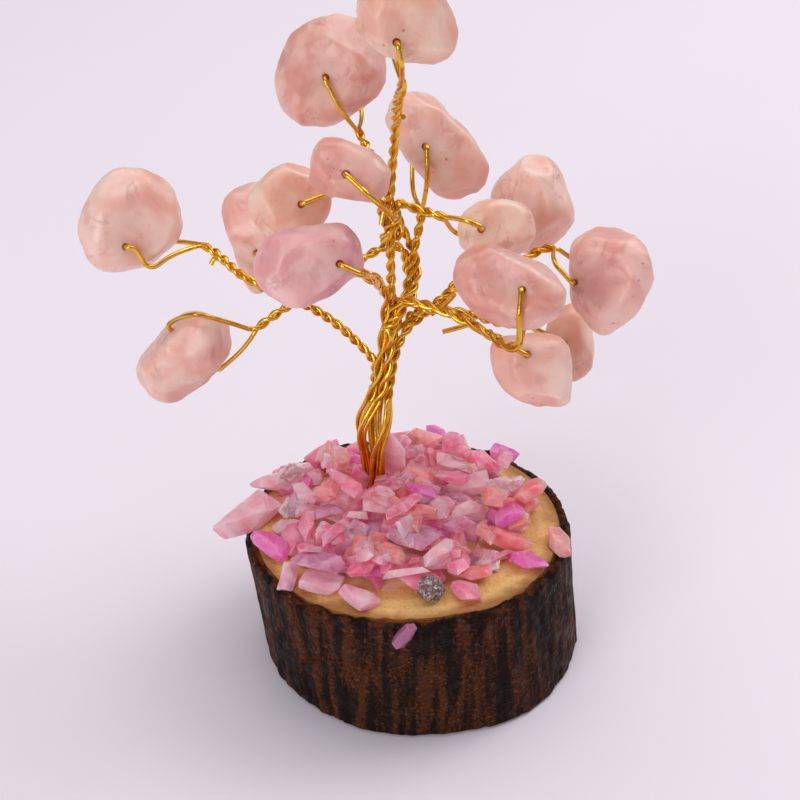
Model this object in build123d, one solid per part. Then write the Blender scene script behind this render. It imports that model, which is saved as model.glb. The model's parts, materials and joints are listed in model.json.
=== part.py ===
from build123d import *
import math
import os
import random

import numpy as np

# A small gemstone tree: a slice of a bark-covered branch carries a bed of crushed stone, and a trunk of
# twisted brass wires rises from a drilled hole in it.  Each wire is folded through a drilled, tumbled
# stone and twisted into a stem.  Six stems are bundled into the trunk, and the others end beside one of
# these, where they are bound to it.
# The origin is the middle of the slice's bottom face.  +Z is up and -Y is the front.

# Branch slice
SLICE_RADIUS = 17.3
SLICE_HEIGHT = 14.6
SLICE_LEAN = 1.6          # the top face sits this far to the left of the bottom face
BARK_THICKNESS = 1.1
BARK_EDGE_WEAR = 0.35     # chamfer on the bark's outer edges

# Brass wire
WIRE_DIAMETER = 0.5
STEM_DIAMETER = WIRE_DIAMETER * math.sqrt(2)   # a twisted pair as one round of the same section
STRAND_GAP = 0.06         # room between neighbouring stems in the bundle
BESIDE_SHARE = 1.22       # of a stem and its gap, from a branch to the middle of a stem bound to it
WIRE_BEND_RADIUS = 0.6    # inside a loop, at the mouth of a stone's bore
CROTCH_RADIUS = 1.1 * WIRE_DIAMETER   # first tight turn, where a loop's two legs meet
CROTCH_GAP = 0.5          # from a stone's edge to that turn
LEG_GAP = 0.15            # between a loop's leg and the stone's face
LEG_SPREAD = 0.54 * WIRE_DIAMETER     # each leg's distance from the middle of the crotch
STEM_LEAD = 1.3           # straight start of a stem below its crotch
SHOULDER_SHARE = 0.72     # of the way to the stone's edge, where a leg turns in to the crotch
SKEW_SHARE = 0.75         # extra on the leg that a skewed crotch is further from
SEAM_STEPS = 24           # turns tried for the seam of a crotch's ball

# Trunk
HOLE_DEPTH = 8.0
HOLE_CLEARANCE = 0.15
TRUNK_X = -4.8
TRUNK_Y = 5.2
FORK_HEIGHT = 31.0        # height of the first fork above the table
FORK_SHIFT_X = 1.0
FORK_SHIFT_Y = 1.5
TRUNK_TWIST = 200.0       # degrees, from the hole's floor to the fork
TRUNK_STEPS = 7
BULB_HEIGHT = 7.6         # above the slice, where the bundle swells
BULB_LENGTH = 2.6
BULB_SWELL = 0.75         # added to the bundle's radius there
FORK_RING = 1.0           # radius of the ring of stems at the fork
TRUNK_SLOTS = 6
COLUMN_SLOTS = 3

# Stones
STONE_RADIUS = 6.0
STONE_THICKNESS = 6.0
BORE_CLEARANCE = 0.08     # all round the wire
BORE_COUNTERSINK = 0.5
SWIVEL_RANGE = 10.0       # degrees each way on the wire
SECTOR_MARGIN = 14.0      # degrees of outline beyond the swivel that a loop clears

# Crown: places in it are shares of these, counted from the trunk's height at the fork
CROWN_REACH = 30.0
CROWN_HEIGHT = 44.0      # above the fork

# Crushed stone bed
BED_RADIUS = 14.2
BED_THICKNESS = 0.4
BED_SHIFT_X = -0.4
BED_SHIFT_Y = 1.4
CHIP_LENGTH = 4.4
CHIP_COUNT = 96           # besides those placed by hand
CHIP_GAP = 0.04           # between a chip and what it rests on
CHIP_SEED = 11
PILE_HEIGHT = 5.6         # a chip that would stand higher than this on the bed is left out
CRUMB_SIZE = 2.1
CRUMB_PLACE_SHARES = (0.046, -0.760)
CRUMB_WIDTH_SHARES = (0.80, 0.95)
CRUMB_HEIGHT_SHARES = (0.85, 1.00)
BARK_CHIP_LENGTH = 2.8    # the one chip stuck to the bark's front, below the rim
BARK_CHIP_DROP = 1.6
BARK_CHIP_X = -1.7
BARK_CHIP_KIND = 4
BARK_CHIP_TURN = 60.0     # degrees

OUTLINE_STEP = 45.0       # degrees between the points of a stone's outline
OUTLINE_POINTS = 72       # tried along an outline for its reach
SECTION_SHARES = ((-0.5, 0.66), (-0.3, 0.92), (0, 1), (0.3, 0.90), (0.5, 0.60))   # height, size
RUN_SHARE = 0.45          # of the shorter run beside a bend, taken up by the bend
STRAIGHT_ENOUGH = 0.5     # degrees

# Each stone: place in the crown, facing (yaw, pitch in degrees), eight outline radii from the right,
# anticlockwise seen from the front, thickness, bore offset, stem direction in degrees and crotch skew.
STONES = {
    "top": dict(
        place_shares=(-0.055, -0.130, 0.894), facing=(8, 6),
        outline_shares=(0.76, 0.66, 0.66, 0.74, 0.77, 0.64, 0.64, 0.84),
        thickness_share=0.86, bore_shares=(-0.20, -0.26), stem_angle=280, skew_share=0.10),
    "top_left": dict(
        place_shares=(-0.315, 0.755, 0.581), facing=(-14, 10),
        outline_shares=(1.01, 1.10, 1.08, 1.05, 1.04, 1.16, 0.90, 0.78),
        thickness_share=1.02, bore_shares=(0.03, 0.04), stem_angle=301, skew_share=0.25),
    "upper_right": dict(
        place_shares=(0.045, 0.510, 0.473), facing=(16, 28),
        outline_shares=(0.73, 0.58, 0.88, 1.08, 0.64, 0.56, 0.92, 1.22),
        thickness_share=0.84, bore_shares=(-0.28, -0.09), stem_angle=263, skew_share=0.15),
    "right_back": dict(
        place_shares=(0.400, 0.560, 0.308), facing=(-22, 12),
        outline_shares=(0.78, 0.72, 0.92, 0.76, 0.80, 0.80, 0.94, 0.86),
        thickness_share=0.92, bore_shares=(-0.14, -0.25), stem_angle=235, skew_share=-0.10),
    "right_front": dict(
        place_shares=(0.243, 0.145, 0.366), facing=(12, 36),
        outline_shares=(0.68, 0.60, 0.52, 0.58, 0.70, 0.60, 0.56, 0.64),
        thickness_share=0.74, bore_shares=(-0.34, -0.07), stem_angle=150, skew_share=0.10),
    "centre_right": dict(
        place_shares=(0.275, -0.160, 0.327), facing=(-12, 34),
        outline_shares=(0.91, 0.56, 0.52, 0.90, 0.96, 0.78, 0.70, 0.86),
        thickness_share=0.80, bore_shares=(0.22, -0.12), stem_angle=272, skew_share=0.10),
    "far_right": dict(
        place_shares=(0.635, 0.180, 0.228), facing=(-26, 20),
        outline_shares=(0.78, 0.88, 0.90, 0.92, 0.76, 0.80, 0.97, 0.80),
        thickness_share=0.94, bore_shares=(-0.46, -0.13), stem_angle=144, skew_share=-0.15),
    "lower_right": dict(
        place_shares=(0.361, -0.033, 0.071), facing=(8, 18),
        outline_shares=(0.75, 0.74, 0.62, 0.76, 0.62, 0.54, 0.65, 0.92),
        thickness_share=0.86, bore_shares=(-0.13, 0.33), stem_angle=151, skew_share=0.10),
    "low_right_back": dict(
        place_shares=(0.537, 0.306, 0.015), facing=(-20, 36),
        outline_shares=(0.40, 0.44, 0.74, 0.62, 0.50, 0.68, 0.73, 0.66),
        thickness_share=0.72, bore_shares=(-0.05, -0.09), stem_angle=162, skew_share=0.20),
    "far_left": dict(
        place_shares=(-0.998, 0.311, 0.334), facing=(24, 16),
        outline_shares=(0.97, 0.94, 0.89, 0.80, 0.89, 1.01, 0.85, 0.94),
        thickness_share=0.96, bore_shares=(-0.22, -0.36), stem_angle=350, skew_share=0.15),
    "low_left": dict(
        place_shares=(-0.850, 0.308, -0.026), facing=(90, -47),
        outline_shares=(0.60, 0.86, 1.10, 0.84, 0.58, 0.80, 1.02, 0.82),
        thickness_share=1.08, bore_shares=(0.00, 0.24), stem_angle=90, skew_share=0.45),
    "upper_left": dict(
        place_shares=(-0.230, 0.026, 0.541), facing=(-12, 30),
        outline_shares=(0.72, 0.44, 0.42, 0.64, 0.74, 0.64, 0.47, 0.66),
        thickness_share=0.76, bore_shares=(0.03, -0.15), stem_angle=323, skew_share=-0.10),
    "mid_left": dict(
        place_shares=(-0.432, 0.227, 0.415), facing=(18, 30),
        outline_shares=(0.66, 0.63, 0.60, 0.63, 0.76, 0.80, 0.70, 0.66),
        thickness_share=0.84, bore_shares=(0.05, -0.17), stem_angle=13, skew_share=-0.20),
    "front_left": dict(
        place_shares=(-0.360, -0.154, 0.378), facing=(14, 14),
        outline_shares=(0.90, 0.80, 0.56, 0.70, 0.87, 0.84, 0.72, 0.64),
        thickness_share=0.90, bore_shares=(0.42, 0.00), stem_angle=330, skew_share=-0.10),
    "back_left": dict(
        place_shares=(-0.581, 0.448, 0.247), facing=(-10, 18),
        outline_shares=(0.60, 0.78, 1.02, 0.88, 0.50, 0.52, 1.02, 0.70),
        thickness_share=0.86, bore_shares=(0.11, -0.21), stem_angle=350, skew_share=-0.15),
}

# The column above the fork, from its foot past its lower knot to its upper knot
COLUMN_SHARES = (
    (-0.118, 0.210, 0.091), (-0.103, 0.187, 0.182), (-0.107, 0.165, 0.330), (-0.110, 0.150, 0.420))

# Each stem: its slot in the trunk, its slot in the column and how many of the column's points it passes, or
# the stem that it is bound to, between which points and on which side, and its points out to its stone.
STEMS = {
    "far_right": dict(
        slot=0, via_shares=((-0.057, 0.283, 0.059), (0.033, 0.320, 0.098), (0.100, 0.337, 0.148),
                            (0.300, 0.315, 0.199))),
    "upper_right": dict(
        slot=1, via_shares=((-0.083, 0.297, 0.064), (-0.058, 0.323, 0.126), (-0.028, 0.347, 0.238))),
    "top": dict(
        slot=2, column=(0, 4), via_shares=((-0.090, 0.135, 0.582), (-0.080, 0.000, 0.705))),
    "far_left": dict(
        slot=3, via_shares=((-0.347, 0.245, 0.126), (-0.592, 0.198, 0.211))),
    "front_left": dict(
        slot=4, column=(1, 2), via_shares=((-0.145, 0.060, 0.250),)),
    "centre_right": dict(
        slot=5, column=(2, 2), via_shares=((0.030, 0.075, 0.195), (0.190, -0.045, 0.182))),
    "back_left": dict(
        bound=("top", 0, 1), side=(-0.50, 0.87, 0.00),
        via_shares=((-0.217, 0.233, 0.228), (-0.333, 0.350, 0.228))),
    "lower_right": dict(
        bound=("centre_right", 0, 1), side=(0.89, 0.45, 0.00),
        via_shares=((0.030, 0.115, 0.180), (0.160, 0.040, 0.168))),
    "upper_left": dict(
        bound=("top", 2, 3), side=(-0.50, -0.87, 0.00), via_shares=()),
    "mid_left": dict(
        bound=("top", 2, 3), side=(-0.87, 0.50, 0.00), via_shares=((-0.180, 0.233, 0.415),)),
    "right_front": dict(
        bound=("top", 2, 3), side=(0.94, 0.34, 0.00), via_shares=((0.000, 0.167, 0.400),)),
    "top_left": dict(
        bound=("upper_right", 1, 2), side=(0.00, 0.99, -0.14),
        via_shares=((-0.075, 0.353, 0.318), (-0.130, 0.360, 0.412), (-0.165, 0.500, 0.434))),
    "low_left": dict(
        bound=("upper_right", 1, 2), side=(-0.98, 0.00, 0.18),
        via_shares=((-0.087, 0.363, 0.257), (-0.143, 0.393, 0.241), (-0.430, 0.370, 0.114))),
    "right_back": dict(
        bound=("far_right", 1, 2), side=(-0.20, 0.97, -0.10), via_shares=((0.220, 0.420, 0.190),)),
    "low_right_back": dict(
        bound=("far_right", 0, 1), side=(0.29, -0.79, 0.54),
        via_shares=((0.140, 0.310, 0.100), (0.290, 0.330, 0.054))),
}

# Broken pieces of unit length, used over and over at other sizes and turns
SHARD_KINDS = 9
SHARD_CUTS = 7
SHARD_WIDTH_SHARES = (0.46, 0.78)
SHARD_HEIGHT_SHARES = (0.34, 0.56)
SHARD_CUT_SHARES = (0.52, 0.78)
SHARD_SLOPE_SHARES = (0.5, 1.5)
CHIP_SIZE_SHARES = (0.62, 1.22)
CHIP_TILT = 24.0          # degrees, most that a scattered chip leans
CHIP_ROLL = 40.0
CHIP_HUES = {"rose": 0.42, "pale": 0.20, "peach": 0.20, "smoky": 0.10, "magenta": 0.08}
GOLDEN_ANGLE = math.pi * (3 - math.sqrt(5))
CHIP_TRIES = 10           # a scattered chip is put where it lies lowest out of this many tries
CHIP_STRAY = 0.9
PLACED_STRAY = 2.0
SIZE_MERIT = 0.35         # how much a try's length counts against its height
SPREAD_SHARE = 0.95       # of the bed's radius, covered by scattered chips
HEAP_SHARE = 0.3          # of the scattered chips, heaped round the trunk on top of the others
HEAP_RADIUS_SHARE = 0.55  # of the bed
HEAP_PLACE_SHARES = (0.50, 0.25)   # of the trunk's place
TRUNK_SIDES = 8           # of the prism round the trunk that chips stay out of
TINY = 1e-6               # a length that counts as none
LEVEL_SLOPE = 1e-3        # an axis that rises less than this counts as level

# Chips placed by hand: hue, place as shares of the slice's radius, length share, turn, lean, roll and kind
PLACED_CHIP_SHARES = (
    ("pale", (-1.055, -0.045), 1.70, 62, 6, 10, 0),
    ("magenta", (-0.900, -0.270), 1.05, 125, 10, 20, 1),
    ("magenta", (-0.356, -0.525), 1.15, 168, 4, 35, 2),
    ("pale", (-0.098, -0.520), 0.98, 4, 8, 70, 3),
    ("pale", (-0.780, -0.600), 0.80, 80, 28, 10, 4),
    ("pale", (-0.580, -0.655), 0.92, 165, 6, 0, 5),
    ("pale", (-0.369, -0.752), 0.90, 140, 12, 15, 6),
    ("rose", (0.265, -0.737), 0.72, 125, 4, 20, 7),
    ("rose", (0.100, -0.640), 0.55, 20, 10, 0, 8),
    ("peach", (0.842, -0.235), 0.92, 108, 14, 25, 3),
    ("magenta", (0.640, -0.440), 0.88, 170, 12, 30, 1),
    ("smoky", (-0.415, -0.300), 1.15, 60, 22, 10, 4),
    ("smoky", (-0.040, -0.390), 1.20, 160, 12, 20, 5),
    ("rose", (0.205, -0.270), 1.20, 98, 26, 50, 3),
    ("pale", (-0.020, 0.530), 1.15, 75, -50, 20, 0),
    ("rose", (0.400, 0.530), 1.05, 80, -50, 30, 7),
    ("rose", (0.180, 0.680), 1.15, 20, 12, 30, 6),
    ("pale", (-0.520, 0.060), 1.10, 70, 30, 20, 2),
    ("rose", (-0.860, 0.400), 1.05, 130, 16, 0, 8),
    ("rose", (-0.620, 0.680), 1.10, 30, 10, 20, 6),
    ("peach", (0.560, 0.120), 1.30, 150, 14, 10, 5),
    ("peach", (0.470, -0.300), 1.30, 170, 16, 0, 4),
)

FOOT_RING = (STEM_DIAMETER + STRAND_GAP) / (2 * math.sin(math.pi / TRUNK_SLOTS))
COLUMN_RING = (STEM_DIAMETER + STRAND_GAP) / (2 * math.sin(math.pi / COLUMN_SLOTS))
HOLE_RADIUS = FOOT_RING + STEM_DIAMETER / 2 + HOLE_CLEARANCE
BULB_RADIUS = FOOT_RING + BULB_SWELL + STEM_DIAMETER
BORE_RADIUS = WIRE_DIAMETER / 2 + BORE_CLEARANCE


def crown_point(shares):
    """A point of the crown from its shares of the reach and of the height above the fork."""
    return Vector(shares[0] * CROWN_REACH, shares[1] * CROWN_REACH, FORK_HEIGHT + shares[2] * CROWN_HEIGHT)


def bends(points):
    """Corner radii of a path: each bend takes a share of its shorter run."""
    radii = []
    for before, corner, after in zip(points, points[1:], points[2:]):
        turn = math.radians((corner - before).get_angle(after - corner))
        run = min((corner - before).length, (after - corner).length)
        radii.append(RUN_SHARE * run / math.tan(turn / 2))
    return radii


def drop_straight_points(points):
    """The points of a path without those where it hardly turns."""
    kept = [points[0]]
    for corner, after in zip(points[1:], points[2:]):
        if (corner - kept[-1]).get_angle(after - corner) > STRAIGHT_ENOUGH:
            kept.append(corner)
    return kept + [points[-1]]


def tube(points, diameter, radii=None):
    """A round wire along straight runs joined by tangent arcs."""
    points = drop_straight_points(points)
    path = FilletPolyline(*points, radius=radii or bends(points))
    section = Plane(origin=points[0], z_dir=points[1] - points[0]) * Circle(diameter / 2)
    return sweep(section, path=path)


def stone_plane(stone):
    """The stone's own frame: x to its right, y up its face, z along its bore."""
    yaw, pitch = (math.radians(a) for a in stone["facing"])
    bore = Vector(math.sin(yaw) * math.cos(pitch), -math.cos(yaw) * math.cos(pitch), math.sin(pitch))
    right = Vector(math.cos(yaw), math.sin(yaw), 0)
    return Plane(origin=crown_point(stone["place_shares"]), x_dir=right, z_dir=bore)


def outline_points(stone):
    """The corners that the stone's smooth outline passes through, in its own frame."""
    points = []
    for index, share in enumerate(stone["outline_shares"]):
        angle = math.radians(index * OUTLINE_STEP)
        points.append(Vector(math.cos(angle), math.sin(angle)) * (share * STONE_RADIUS))
    return points


def bore_centre(stone):
    """Where the bore crosses the stone's middle plane, in its own frame."""
    return Vector(*stone["bore_shares"]) * STONE_RADIUS


def edge_reach(stone):
    """Furthest the outline lies from the bore over the part of it that swivels past the crotch."""
    outline = Spline(*outline_points(stone), periodic=True)
    centre = bore_centre(stone)
    reach = 0
    for index in range(OUTLINE_POINTS):
        offset = outline.position_at(index / OUTLINE_POINTS) - centre
        angle = math.degrees(math.atan2(offset.Y, offset.X)) - stone["stem_angle"]
        if abs((angle + 180) % 360 - 180) < SWIVEL_RANGE + SECTOR_MARGIN:
            reach = max(reach, offset.length)
    return reach


def make_stone(stone):
    """A tumbled stone with a countersunk bore through its thickness."""
    thickness = stone["thickness_share"] * STONE_THICKNESS
    sections = []
    for height_share, size_share in SECTION_SHARES:
        outline = [p * size_share for p in outline_points(stone)]
        face = make_face(Spline(*outline, periodic=True))
        sections.append(Pos(0, 0, height_share * thickness) * face)
    body = loft(sections)
    place = Pos(*bore_centre(stone))
    body -= place * Cylinder(BORE_RADIUS, 2 * thickness)
    mouth = Cone(BORE_RADIUS, BORE_RADIUS + 2 * BORE_COUNTERSINK, 2 * BORE_COUNTERSINK)
    body -= place * Pos(0, 0, thickness / 2) * mouth
    body -= place * Pos(0, 0, -thickness / 2) * Rot(180, 0, 0) * mouth
    return stone_plane(stone) * body


def loop_frame(stone):
    """Bore centre, bore axis and stem direction of a stone's wire loop, and its crotch."""
    plane = stone_plane(stone)
    angle = math.radians(stone["stem_angle"])
    away = plane.x_dir * math.cos(angle) + plane.y_dir * math.sin(angle)
    centre = plane.from_local_coords(bore_centre(stone))
    skew = stone["skew_share"] * stone["thickness_share"] * STONE_THICKNESS
    crotch = centre + away * (edge_reach(stone) + CROTCH_GAP + CROTCH_RADIUS) + plane.z_dir * skew
    return centre, plane.z_dir, away, crotch


def loop_legs(stone):
    """The two legs of a stone's wire loop, each from the crotch along a face to the mouth of the bore."""
    centre, axis, away, crotch = loop_frame(stone)
    leg_height = stone["thickness_share"] * STONE_THICKNESS / 2 + WIRE_DIAMETER / 2 + LEG_GAP
    legs = []
    for side in (1, -1):
        shoulder = edge_reach(stone) * (SHOULDER_SHARE + SKEW_SHARE * max(0, -side * stone["skew_share"]))
        mouth = centre + axis * (side * leg_height)
        legs.append([crotch + axis * (side * LEG_SPREAD), mouth + away * shoulder, mouth])
    return legs


def wire_loop(stone):
    """The single wire through the bore, with its two legs laid along the stone's faces to the crotch."""
    front, back = loop_legs(stone)
    points = front + back[::-1]
    radii = bends(points)
    radii[1] = radii[2] = WIRE_BEND_RADIUS
    return tube(points, WIRE_DIAMETER, radii)


def crotch_ball(crotch, normal, wires):
    """The tight first turn of a twist as a ball, its seam turned clear of the wires that enter it."""
    seams = []
    for step in range(SEAM_STEPS):
        seam = wires[0].rotate(Axis((0, 0, 0), normal), step * 360 / SEAM_STEPS)
        seam = (seam - normal * seam.dot(normal)).normalized()
        seams.append((min(seam.get_angle(wire) for wire in wires), step, seam))
    return Plane(origin=crotch, x_dir=max(seams)[2], z_dir=normal) * Sphere(CROTCH_RADIUS)


def trunk_axis(height):
    """Where the trunk's axis is at a height: upright in the hole, then leaning to the fork."""
    rise = max(0, (height - SLICE_HEIGHT) / (FORK_HEIGHT - SLICE_HEIGHT))
    return Vector(TRUNK_X + FORK_SHIFT_X * rise, TRUNK_Y + FORK_SHIFT_Y * rise, height)


def trunk_points(slot):
    """A stem's twisted way up the trunk, from the floor of the hole past the bulb to the fork."""
    floor = SLICE_HEIGHT - HOLE_DEPTH + STRAND_GAP
    points = []
    for step in range(TRUNK_STEPS + 1):
        share = step / TRUNK_STEPS
        height = floor + (FORK_HEIGHT - floor) * share
        swell = BULB_SWELL * math.exp(-(((height - SLICE_HEIGHT - BULB_HEIGHT) / BULB_LENGTH) ** 2))
        radius = FOOT_RING + (FORK_RING - FOOT_RING) * share + swell
        angle = 2 * math.pi * slot / TRUNK_SLOTS - math.radians(TRUNK_TWIST) * (1 - share)
        points.append(trunk_axis(height) + Vector(math.cos(angle), math.sin(angle)) * radius)
    return points


def branch_points(stem):
    """A stem's points above the trunk: up the column, if it is in it, then out to its stone."""
    slot, count = stem.get("column", (0, 0))
    angle = 2 * math.pi * (slot / COLUMN_SLOTS + 1 / 4)
    offset = Vector(math.cos(angle), math.sin(angle)) * COLUMN_RING
    column = [crown_point(shares) + offset for shares in COLUMN_SHARES[:count]]
    return column + [crown_point(shares) for shares in stem["via_shares"]]


def bound_points(stem):
    """The start of a stem that is bound to another one, beside two points of that."""
    carrier, first, last = stem["bound"]
    offset = Vector(*stem["side"]) * (BESIDE_SHARE * (STEM_DIAMETER + STRAND_GAP))
    return [point + offset for point in branch_points(STEMS[carrier])[first : last + 1]]


def make_stem(name):
    """One wire: its twisted stem from its foot to the crotch, and the loop through its stone."""
    stem = STEMS[name]
    centre, axis, away, crotch = loop_frame(STONES[name])
    points = trunk_points(stem["slot"]) if "slot" in stem else bound_points(stem)
    points += branch_points(stem)
    lead = (away + (points[-1] - crotch).normalized()).normalized()
    points += [crotch + lead * STEM_LEAD, crotch]
    wires = [lead] + [leg[1] - leg[0] for leg in loop_legs(STONES[name])]
    ball = crotch_ball(crotch, axis.cross(away), wires)
    return tube(points, STEM_DIAMETER) + ball + wire_loop(STONES[name])


def leaning_disc(radius, height, wear=0):
    """A round slice whose top face sits to the left of its bottom face."""
    bottom = Circle(radius)
    top = Pos(-SLICE_LEAN, 0, height) * Circle(radius)
    disc = loft([bottom, top], ruled=True)
    return chamfer(disc.edges(), wear) if wear else disc


def make_slice():
    """The wood, with the drilled hole for the trunk, and the ring of bark round it."""
    hole = Pos(TRUNK_X, TRUNK_Y, SLICE_HEIGHT - HOLE_DEPTH) * Cylinder(
        HOLE_RADIUS, 2 * HOLE_DEPTH, align=(Align.CENTER, Align.CENTER, Align.MIN))
    core = leaning_disc(SLICE_RADIUS - BARK_THICKNESS, SLICE_HEIGHT)
    bark = leaning_disc(SLICE_RADIUS, SLICE_HEIGHT, BARK_EDGE_WEAR) - core
    return core - hole, bark


def make_bed():
    """The glue bed under the crushed stone, open round the trunk."""
    bed = Pos(-SLICE_LEAN + BED_SHIFT_X, BED_SHIFT_Y, SLICE_HEIGHT) * Cylinder(
        BED_RADIUS, BED_THICKNESS, align=(Align.CENTER, Align.CENTER, Align.MIN))
    return bed - Pos(TRUNK_X, TRUNK_Y, SLICE_HEIGHT) * Cylinder(HOLE_RADIUS, 4 * BED_THICKNESS)


def make_shard(rng, width=SHARD_WIDTH_SHARES, height=SHARD_HEIGHT_SHARES):
    """A broken piece of unit length: a block with its corners split off."""
    sides = Vector(1, rng.uniform(*width), rng.uniform(*height))
    shard = Box(*sides)
    for cut in range(SHARD_CUTS):
        signs = [1 if cut >> bit & 1 else -1 for bit in range(3)]
        slopes = [sign * rng.uniform(*SHARD_SLOPE_SHARES) / side for sign, side in zip(signs, sides)]
        normal = Vector(*slopes).normalized()
        support = sum(abs(part) * side / 2 for part, side in zip(normal, sides))
        plane = Plane(origin=normal * (support * rng.uniform(*SHARD_CUT_SHARES)), z_dir=normal)
        shard = split(shard, bisect_by=plane, keep=Keep.BOTTOM)
    return shard


class Block:
    """Corners, face normals and edge directions of a convex solid, for stacking it on others."""

    def __init__(self, solid):
        self.solid = solid
        self.corners = np.array([tuple(vertex) for vertex in solid.vertices()])
        self.normals = np.array([tuple(face.normal_at()) for face in solid.faces()])
        self.edges = np.array([tuple(edge @ 1 - edge @ 0) for edge in solid.edges()])

    def resting(self, size, turns):
        """A copy at another size and turn, and how to make its solid."""
        frame = Plane(turns)
        matrix = np.array([tuple(frame.x_dir), tuple(frame.y_dir), tuple(frame.z_dir)])
        copy = object.__new__(Block)
        copy.solid = lambda: turns * scale(self.solid, size)
        copy.corners = self.corners * size @ matrix
        copy.normals = self.normals @ matrix
        copy.edges = self.edges @ matrix
        copy.place = np.zeros(3)
        return copy

    def shift(self, *step):
        """Move a copy."""
        self.corners = self.corners + step
        self.place = self.place + step

    def placed_solid(self):
        """The solid of a copy where it now is."""
        return Pos(*self.place) * self.solid()

    def lift_off(self, other):
        """How far up this block must go to clear the other: 0 where they are apart."""
        crosses = np.cross(self.edges[:, None], other.edges[None]).reshape(-1, 3)
        axes = np.concatenate((self.normals, other.normals, crosses))
        lengths = np.linalg.norm(axes, axis=1)
        axes = axes[lengths > TINY] / lengths[lengths > TINY, None]
        axes = np.concatenate((axes, -axes))
        overlap = (other.corners @ axes.T).max(0) - (self.corners @ axes.T).min(0) + CHIP_GAP
        if overlap.min() <= 0:
            return 0
        rising = axes[:, 2] > LEVEL_SLOPE
        return (overlap[rising] / axes[rising, 2]).min() + TINY


def settle(chip, x, y, placed):
    """Put a chip down at a place, on the bed, the wood or the chips below it; its top above the bed."""
    bed_x = -SLICE_LEAN + BED_SHIFT_X
    reach = np.linalg.norm(chip.corners[:, :2], axis=1).max()
    on_bed = math.hypot(x - bed_x, y - BED_SHIFT_Y) < BED_RADIUS + reach
    floor = SLICE_HEIGHT + CHIP_GAP + (BED_THICKNESS if on_bed else 0)
    chip.shift(x, y, floor - chip.corners[:, 2].min())
    low, high = chip.corners.min(0)[:2], chip.corners.max(0)[:2]
    near = [o for o in placed if (o.corners.min(0)[:2] < high).all() and (o.corners.max(0)[:2] > low).all()]
    lift = 1
    while lift > 0:
        lift = max([chip.lift_off(other) for other in near], default=0)
        chip.shift(0, 0, lift)
    return chip.corners[:, 2].max() - SLICE_HEIGHT - BED_THICKNESS


def chip_turns(turn, lean, roll):
    """A chip's turn about the vertical, after it leans along its length and rolls about it."""
    return Rot(0, 0, turn) * Rot(0, -lean, 0) * Rot(roll, 0, 0)


def make_bark_chip(kind):
    """The chip on the bark: turned flat against the front of the slice, below its rim."""
    chip = kind.resting(BARK_CHIP_LENGTH, Rot(90, 0, 0) * Rot(0, 0, BARK_CHIP_TURN))
    height = SLICE_HEIGHT - BARK_CHIP_DROP
    off_axis = BARK_CHIP_X + SLICE_LEAN * height / SLICE_HEIGHT
    face = -math.sqrt(SLICE_RADIUS**2 - off_axis**2)
    chip.shift(BARK_CHIP_X, face - CHIP_GAP - chip.corners[:, 1].max(), height)
    return chip.placed_solid()


def scatter_places():
    """Where the scattered chips are tried: all over the bed, then heaped round the trunk."""
    heap = round(CHIP_COUNT * HEAP_SHARE)
    spread = CHIP_COUNT - heap
    for index in range(CHIP_COUNT):
        x, y = -SLICE_LEAN + BED_SHIFT_X, BED_SHIFT_Y
        radius = BED_RADIUS * SPREAD_SHARE * math.sqrt((index + 0.5) / spread)
        if index >= spread:
            x, y = HEAP_PLACE_SHARES[0] * TRUNK_X, HEAP_PLACE_SHARES[1] * TRUNK_Y
            radius = BED_RADIUS * HEAP_RADIUS_SHARE * math.sqrt((CHIP_COUNT - index) / heap)
        yield x + radius * math.cos(index * GOLDEN_ANGLE), y + radius * math.sin(index * GOLDEN_ANGLE)


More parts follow.
